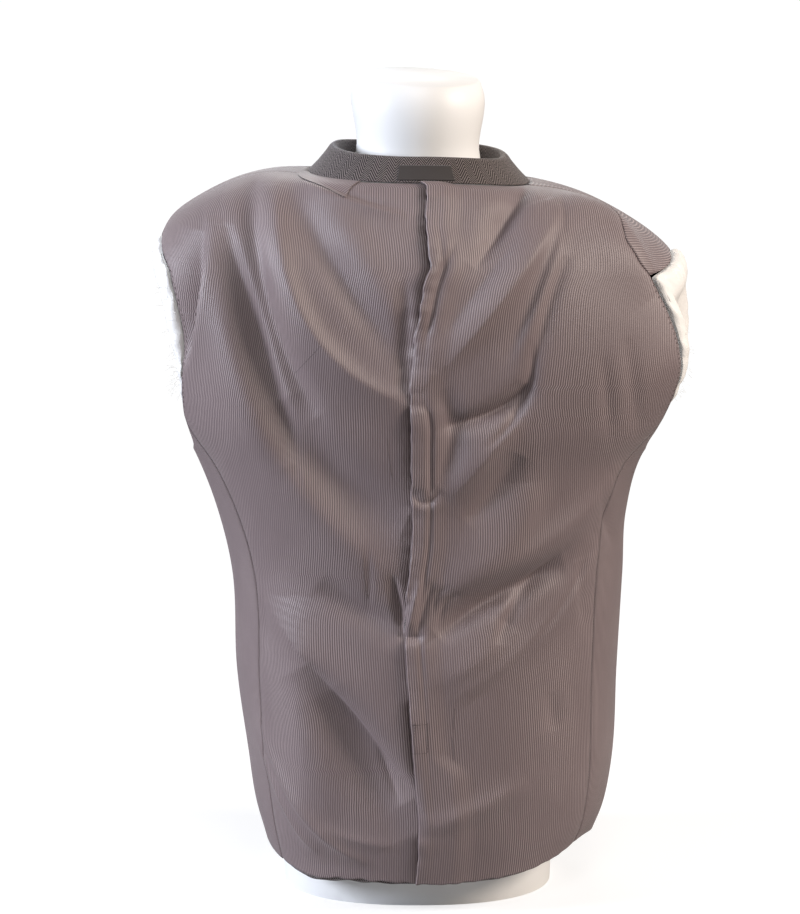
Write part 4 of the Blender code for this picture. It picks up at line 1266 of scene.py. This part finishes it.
# %% Collar
COLLAR_PROFILE = named_rows(
    "name up inward",
    ("seam", 0.6, 0),
    ("stand", 9, 5.5),
    ("stand top", 17, 10),
    ("fold outside", 22, 12.5),
    ("fold", 24, 15),
    ("fold inside", 22, 17.4),
    ("leaf", 12, 16.2),
    ("leaf edge", 5, 14),
)
COLLAR_LEAN = 0.7
COLLAR_END = 142.0
COLLAR_FRONT_LIFT = 0.35
COLLAR_ROWS, COLLAR_COLUMNS = 57, 260
COLLAR_MAP_ROW = 20  # the row along which the cloth's map is measured


def collar_point(bearing, up, inward):
    """Points of the collar, above the neck seam at these bearings."""
    bearing, up, inward = np.broadcast_arrays(bearing, up, inward)
    top = np.full_like(bearing, COLLAR_RISE)
    seam = between(SECTIONS, top / STEP, bearing - BEARINGS[0])
    to_neck = -seam * [1.0, 1.0, 0.0]
    to_neck /= np.linalg.norm(to_neck, axis=-1, keepdims=True)
    taller = 1.0 + COLLAR_FRONT_LIFT * (np.abs(bearing) / COLLAR_END) ** 2
    lean = 1.0 + COLLAR_LEAN * np.sin(np.radians(bearing)) ** 2
    raised = np.stack([0 * up, 0 * up, up * taller], axis=-1)
    return seam + to_neck * (inward * lean)[..., None] + raised, -to_neck


keys = np.arange(len(COLLAR_PROFILE))
at = np.linspace(0, keys[-1], COLLAR_ROWS)
profile = curves(COLLAR_PROFILE, at, keys)
up, inward = profile["up"], profile["inward"]
length = added_up(np.hypot(np.diff(up), np.diff(inward)))
bearing = np.linspace(COLLAR_END, -COLLAR_END, COLLAR_COLUMNS)[None, :]
points, facing = collar_point(bearing, up[:, None], inward[:, None])
facing[COLLAR_ROWS // 2 :] = 0.0
flat = mapped(length_along(points[COLLAR_MAP_ROW])[None, :], length[:, None])
panel("collar_cloth", points, facing, flat, WOOL_CLOTH, "wool", node="collar")

# %% [markdown]
# ## Label
# A small woven patch is sewn across the middle of the collar stand. It is bare here. It takes its
# points from the stand's own profile, moved out, so it lies on the wool all along.

# %% Label
LABEL_BEARING, LABEL_WIDTH, LABEL_RADIUS = -4.0, 0.058, 0.110
LABEL_FOOT, LABEL_HEAD = 0.0030, 0.0165
LABEL_CLEAR, LABEL_THICK = 0.0012, 0.0006
LABEL_ROWS, LABEL_COLUMNS = 16, 60
half = math.degrees(LABEL_WIDTH / 2 / LABEL_RADIUS)
bearing = np.linspace(LABEL_BEARING + half, LABEL_BEARING - half, LABEL_COLUMNS)[None, :]
up = np.linspace(LABEL_FOOT, LABEL_HEAD, LABEL_ROWS)[:, None]
stand = COLLAR_PROFILE[:3]
inset = smooth(up, column(stand, "up"), column(stand, "inward")) - LABEL_CLEAR
points, facing = collar_point(bearing, up, inset)
flat = mapped(spread(LABEL_COLUMNS, LABEL_WIDTH), up)
cut = (points, facing, flat, PATCH_CLOTH, "label")
panel("label_patch", *cut, thickness=LABEL_THICK, node="label")

# %% [markdown]
# ## Sleeves
# The sleeves stay inside. Each mouth bulges out of its armhole in small gathers, then turns in and
# hangs as a slack tube between the coat and the form. A table of loops says how far the armhole's
# own outline is shrunk and how deep it lies, and a closed grid joins the loops.

# %% Sleeve loops and the armhole's outline
SLEEVE_LOOPS = named_rows(
    "rise half spread lower upper",
    (550, 112.2, 24.35, 1.2, 0.4),
    (550, 109.5, 23.6, 6, -6),
    (550, 103, 21.8, 11, -10),
    (548, 92, 18.8, 15, -6),
    (540, 82, 17.0, 13, 12),
    (520, 72, 17.5, 14, 30),
    (475, 50, 20.0, 15, 42),
    (420, 30, 22.0, 12, 42),
    (360, 12, 23.0, 9, 40),
    (290, 0, 23.0, 8, 37),
    (200, 0, 21.0, 8, 34),
    (115, 0, 18.0, 8, 30),
    plain=["spread"],
)
PUFF = {1: 0.22, -1: 0.55}
SLEEVE_ROWS, SLEEVE_SIDES, SLEEVE_CROWD = 90, 180, 1.5
SLEEVE_WALL, SLEEVE_THICK = 0.0016, 0.0012
SLEEVE_ROUND = 0.62  # metres of cloth round the sleeve
SLEEVE_MAP_COLUMN = 50  # the column along which the cloth's map is measured
EDGE_STEPS, FOOT_STEPS, FLOOR_STEPS = 60, 20, 40
BEARING_METRES = 0.11  # metres to one share of the outline's half width
MOUTH_DEPTH, MOUTH_LOOPS = 0.0014, 0.8
GATHER, GATHERS, GATHER_DRIFT = 0.0008, 23, 1.3
FINE_GATHERS, FINE_SHARE = 37, 0.6
GATHER_FROM, GATHER_TO = 0.3, 4.0  # loops
FLAP_UNDER = 0.0028


def armhole_outline(side):
    """The armhole's edge as shares of its half height and half width."""
    hole = ARMHOLES[side]
    first, last = hole.shoulder_rises[0], hole.back[0]
    up = np.linspace(UNDERARM_RISE, first, EDGE_STEPS)
    spots = [(rise, float(back_edge(np.array(rise), side))) for rise in up]
    if hole.flap:
        for t in np.linspace(0.0, 1.0, FOOT_STEPS)[1:-1]:
            across = hole.shoulder_seam[0] + (hole.front[-1] - hole.shoulder_seam[0]) * t
            under = FLAP_UNDER * math.sin(math.pi * t) ** 0.5
            spots.append((first + (ARMHOLE_TOP - first) * t + under, across))
    down = np.linspace(ARMHOLE_TOP, UNDERARM_RISE, EDGE_STEPS)[0 if hole.flap else 1 :]
    spots += [(rise, float(front_edge(np.array(rise), side))) for rise in down]
    turn = np.linspace(0.0, math.pi, FLOOR_STEPS)[1:-1]
    middle, width = (hole.front[0] + last) / 2, (hole.front[0] - last) / 2
    floor_bearings = middle + width * np.cos(turn)
    spots += [(float(armhole_floor(bearing)), bearing) for bearing in floor_bearings]
    spots = np.array(spots + [spots[0]])
    return (spots - [ARMHOLE_RISE, ARMHOLE_BEARING]) / [ARMHOLE_HALF, ARMHOLE_SPREAD]


def even_outline(outline, count):
    """The outline with its points evenly spaced."""
    run = length_along(outline * [ARMHOLE_HALF, BEARING_METRES])
    at = np.linspace(0.0, run[-1], count)
    return np.stack([np.interp(at, run, outline[:, k]) for k in range(2)], axis=1)


# %% The sleeves
def sleeve(side):
    """One sleeve, from the armhole's edge to the open cuff."""
    outline = even_outline(armhole_outline(side), SLEEVE_SIDES)
    keys = np.arange(len(SLEEVE_LOOPS))
    at = keys[-1] * spread(SLEEVE_ROWS).T ** SLEEVE_CROWD
    loop = curves(SLEEVE_LOOPS, at, keys)
    up, across = outline[None, :, 0], outline[None, :, 1]
    rise = loop["rise"] + loop["half"] * up
    reach = reach_at(rise, side * (ARMHOLE_BEARING + loop["spread"] * across))
    depth = loop["lower"] + (loop["upper"] - loop["lower"]) * (1 + up) / 2
    depth = np.where(depth < 0, depth * PUFF[side], depth)
    turn = spread(SLEEVE_SIDES, 2 * math.pi)
    gather = np.sin(GATHERS * turn + GATHER_DRIFT * np.sin(3 * turn))
    gather = gather + FINE_SHARE * np.sin(FINE_GATHERS * turn + 2.0 * side)
    shown = eased((at - GATHER_FROM) / 0.8) * eased((GATHER_TO - at) / 2.5)
    depth = depth + MOUTH_DEPTH * eased(1.0 - at / MOUTH_LOOPS)
    depth = depth + GATHER * gather * shown
    smooth_points, facing = smooth_place(rise, reach), outward(rise, reach)
    folded = fold_height(smooth_points) * eased(1.0 - at / 3)
    points = smooth_points + facing * (folded - depth)[..., None]
    normals = unit(np.cross(np.gradient(points, axis=1), np.gradient(points, axis=0)) * side)
    points = points + normals * (SLEEVE_WALL * eased(at / 2.0))[..., None]
    long = length_along(points[:, SLEEVE_MAP_COLUMN])
    flat = mapped(spread(SLEEVE_SIDES, SLEEVE_ROUND), long[:, None])
    node = side_name("sleeve", side)
    cut = (points, normals, flat, SLEEVE_CLOTH, "sleeve_lining", WOOL_CLOTH)
    panel(node + "_cloth", *cut, thickness=SLEEVE_THICK, node=node, closed=True)


for side in BOTH_SIDES:
    sleeve(side)

# %% [markdown]
# ## The form
# A plain limbless torso in white, lofted from a few rounded sections, with a cut neck whose rim
# is eased. It carries the coat on its shoulders and has no anatomy, so sections are all it needs.

# %% The form
FORM_LEVELS = named_rows(
    "name z half_x half_y middle_y square",
    ("base", 0, 138, 102, 0, 2.3),
    ("hip", 100, 140, 108, 0, 2.3),
    ("seat", 200, 136, 105, 0, 2.2),
    ("waist", 330, 128, 94, 0, 2.2),
    ("ribs", 420, 140, 102, 0, 2.3),
    ("chest", 510, 158, 108, 0, 2.4),
    ("armpit", 580, 176, 106, 0, 2.4),
    ("shoulder", 640, 192, 94, 0, 2.3),
    ("shoulder top", 682, 194, 84, 0, 2.2),
    ("slope", 715.5, 177, 77, 2, 2.1),
    ("neck root", 731, 127, 68, 2, 2.0),
    ("neck foot", 737.5, 74, 63, -11, 2.0),
    ("neck", 750, 64.5, 63, -14, 2.0),
    ("neck top", 833, 62.5, 62.5, -15, 2.0),
    ("neck rim", 835, 60.5, 60.5, -15, 2.0),
    plain=["square"],
)
FORM_LEAN, FORM_LEAN_FROM, FORM_LEAN_FULL = 0.050, 0.50, 0.70
FORM_SIDES, FORM_ROWS, FORM_EVEN_TO = 120, 90, 0.82
FORM_SHARP = math.radians(50)


def form_points():
    """Rings of the form, at its levels and at even heights between them."""
    heights = column(FORM_LEVELS, "z")
    rows = np.unique(np.concatenate([heights, np.linspace(0.0, FORM_EVEN_TO, FORM_ROWS)]).round(4))
    rows = rows[:, None]
    at = curves(FORM_LEVELS, rows, heights)
    turn = spread(FORM_SIDES + 1, 2 * math.pi)
    power = 2.0 / at["square"]
    x = squared_off(np.cos(turn), at["half_x"], power)
    y = squared_off(np.sin(turn), at["half_y"], power) + at["middle_y"]
    lean = eased((rows - FORM_LEAN_FROM) / (FORM_LEAN_FULL - FORM_LEAN_FROM))
    return np.stack([x, y, rows + FORM_LEAN * x * lean], axis=2)


def cap_ends(mesh):
    """Joins the grid's seam and closes the base and the neck."""
    weld(mesh)
    rims = [edge for edge in mesh.edges if edge.is_boundary]
    bmesh.ops.holes_fill(mesh, edges=rims, sides=0)
    bmesh.ops.recalc_face_normals(mesh, faces=mesh.faces)


points = form_points()
form = grid_piece("form_shell", points, points * [1.0, 1.0, 0.0], points[..., :2], SHELL)
changed(form.data, cap_ends)
form.data.set_sharp_from_angle(angle=FORM_SHARP)
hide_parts("form")
print("form of", len(form.data.polygons), "faces")

# %% [markdown]
# ## Stitches and loose threads
# Hand stitches hold the lining round the armholes, and a small box of them crosses the centre pleat
# above the vent. Each is a short rod lying on the cloth, joined into one mesh for each row of
# stitches. A few pulled threads make darker lines.

# %% Stitches
STITCH_LIFT, STITCH_THICK, STITCH_LENGTH = 0.00025, 0.00022, 0.0024
STITCH_STEP = 0.001  # how far ahead a stitch looks for its direction


def stitches(name, rise, reach, turn, lift):
    """Short rods of thread on the cloth. `turn` is the way they lie, from straight up."""
    rise, reach, turn = (np.asarray(row, float) for row in np.broadcast_arrays(rise, reach, turn))
    ahead = (rise + np.cos(turn) * STITCH_STEP, reach + np.sin(turn) * STITCH_STEP)
    at, facing = place(rise, reach, lift(rise, reach) + STITCH_LIFT)
    onward, _ = place(*ahead, lift(*ahead) + STITCH_LIFT)
    mesh = bmesh.new()
    for spot, way, up in zip(at, onward - at, facing):
        along = Vector(way).normalized()
        side_way = Vector(up).cross(along).normalized()
        turned = Matrix((side_way, along.cross(side_way), along)).transposed().to_4x4()
        bmesh.ops.create_cone(
            mesh,
            cap_ends=True,
            segments=5,
            radius1=STITCH_THICK,
            radius2=STITCH_THICK,
            depth=STITCH_LENGTH,
            matrix=Matrix.Translation(spot) @ turned,
        )
    add_piece(name, mesh_data(name, mesh), DARK_THREAD)
    print(name, len(at), "stitches")


def no_lift(rise, reach):
    return 0.0 * rise


TACK_RISES, TACK_REACHES, TACK_PITCH = (0.145, 0.175), (-0.0095, 0.0035), 0.0032


def tack_box():
    """Places and turns of the stitches round the small box on the pleat."""
    spots = []
    for rise in TACK_RISES:
        for reach in np.arange(*TACK_REACHES, TACK_PITCH):
            spots.append((rise, reach + TACK_PITCH / 2, math.pi / 2))
    for reach in TACK_REACHES:
        for rise in np.arange(*TACK_RISES, TACK_PITCH):
            spots.append((rise + TACK_PITCH / 2, reach, 0.0))
    return np.array(spots).T


ARMHOLE_STITCHES = (0.486, 0.636, 0.0055)  # from a rise to another, and the pitch
STITCH_SEED = 20


def armhole_stitches(side):
    """Places and turns of the uneven stitches beside an armhole."""
    rise = np.arange(*ARMHOLE_STITCHES)
    draw = random.Random(STITCH_SEED + side)

    def drawn(low, high):
        return np.array([draw.uniform(low, high) for _ in rise])

    rise = rise + drawn(-0.0008, 0.0008)
    inset = drawn(0.0022, 0.0034)
    reach = reach_at(rise, side * back_edge(rise, side)) - side * inset
    return rise, reach, drawn(-0.3, 0.3) + 0.5 * side


stitches("tack_box", *tack_box(), over_lift)
for side in BOTH_SIDES:
    stitches(side_name("armhole_stitches", side), *armhole_stitches(side), no_lift)

# %% Pulled threads
PULLS = named_rows(
    "name rise_1 reach_1 rise_2 reach_2 bow",
    ("left waist pull", 345, 54, 302, 50, 1.2),
    ("left blade pull", 566, 94, 535, 124, -0.6),
    ("right skirt pull", 190, -37, 168, -36, 1),
    ("right hem pull", 160, -34, 122, -35, -1.4),
    ("left seam pull", 468, 30, 428, 26, 0.8),
)
PULL_THICK, PULL_POINTS = 0.00022, 24


def thread_runs(name, runs, radius, thread):
    """Loose threads: a round bevel along each run of points, made a mesh."""
    curve = bpy.data.curves.new(name, "CURVE")
    curve.dimensions = "3D"
    curve.bevel_depth = radius
    curve.bevel_resolution = 0
    curve.use_fill_caps = True
    for run in runs:
        spline = curve.splines.new("POLY")
        spline.points.add(len(run) - 1)
        for point, at in zip(spline.points, run):
            point.co = (*at, 1.0)
    holder = bpy.data.objects.new(name + "_curve", curve)
    data = bpy.data.meshes.new_from_object(holder)
    data.name = name
    bpy.data.objects.remove(holder)
    changed(data, weld)
    data.shade_smooth()
    add_piece(name, data, thread)
    print(name, len(runs), "threads")


runs = []
t = np.linspace(0.0, 1.0, PULL_POINTS)
for pull in PULLS:
    rise = pull.rise_1 + (pull.rise_2 - pull.rise_1) * t
    reach = pull.reach_1 + (pull.reach_2 - pull.reach_1) * t + pull.bow * np.sin(np.pi * t)
    runs.append(place(rise, reach)[0])
thread_runs("pulled_threads", runs, PULL_THICK, DARK_THREAD)

# %% [markdown]
# The cream lining of the sleeves frays at the armholes, most at the left one: fine fibres stand out
# from its edge. Each is a short curved thread that starts under the cloth, with a drawn length.

# %% Frayed fibres
Fray = namedtuple("Fray", "side count low high longest")
FRAYS = [Fray(1, 150, 0.505, 0.650, 0.011), Fray(-1, 50, 0.500, 0.600, 0.006)]
FIBRE_THICK, FIBRE_POINTS = 0.00009, 6
FIBRE_START, FIBRE_CURL, FIBRE_SEED = -0.0008, 0.45, 31


def fray_runs(fray):
    """Runs of points for one armhole's fibres."""
    draw = random.Random(FIBRE_SEED + fray.side)
    t = spread(FIBRE_POINTS).T
    runs = []
    for _ in range(fray.count):
        rise = draw.uniform(fray.low, fray.high)
        bearing = float(back_edge(np.array(rise), fray.side)) + draw.uniform(0.5, 7.0)
        start, facing = place(rise, reach_at(rise, fray.side * bearing), FIBRE_START)
        length = draw.uniform(0.3, 1.0) * fray.longest
        way = facing + np.array([0.0, draw.uniform(-0.4, 0.6), draw.uniform(-1.2, 0.5)])
        curl = np.array([draw.uniform(-1, 1), draw.uniform(-1, 1), draw.uniform(-1, 0.4)])
        straight = way / np.linalg.norm(way) * length * t
        runs.append(start + straight + curl * length * FIBRE_CURL * t * t)
    return runs


for fray in FRAYS:
    name = side_name("frayed_fibres", fray.side)
    thread_runs(name, fray_runs(fray), FIBRE_THICK, CREAM_THREAD)
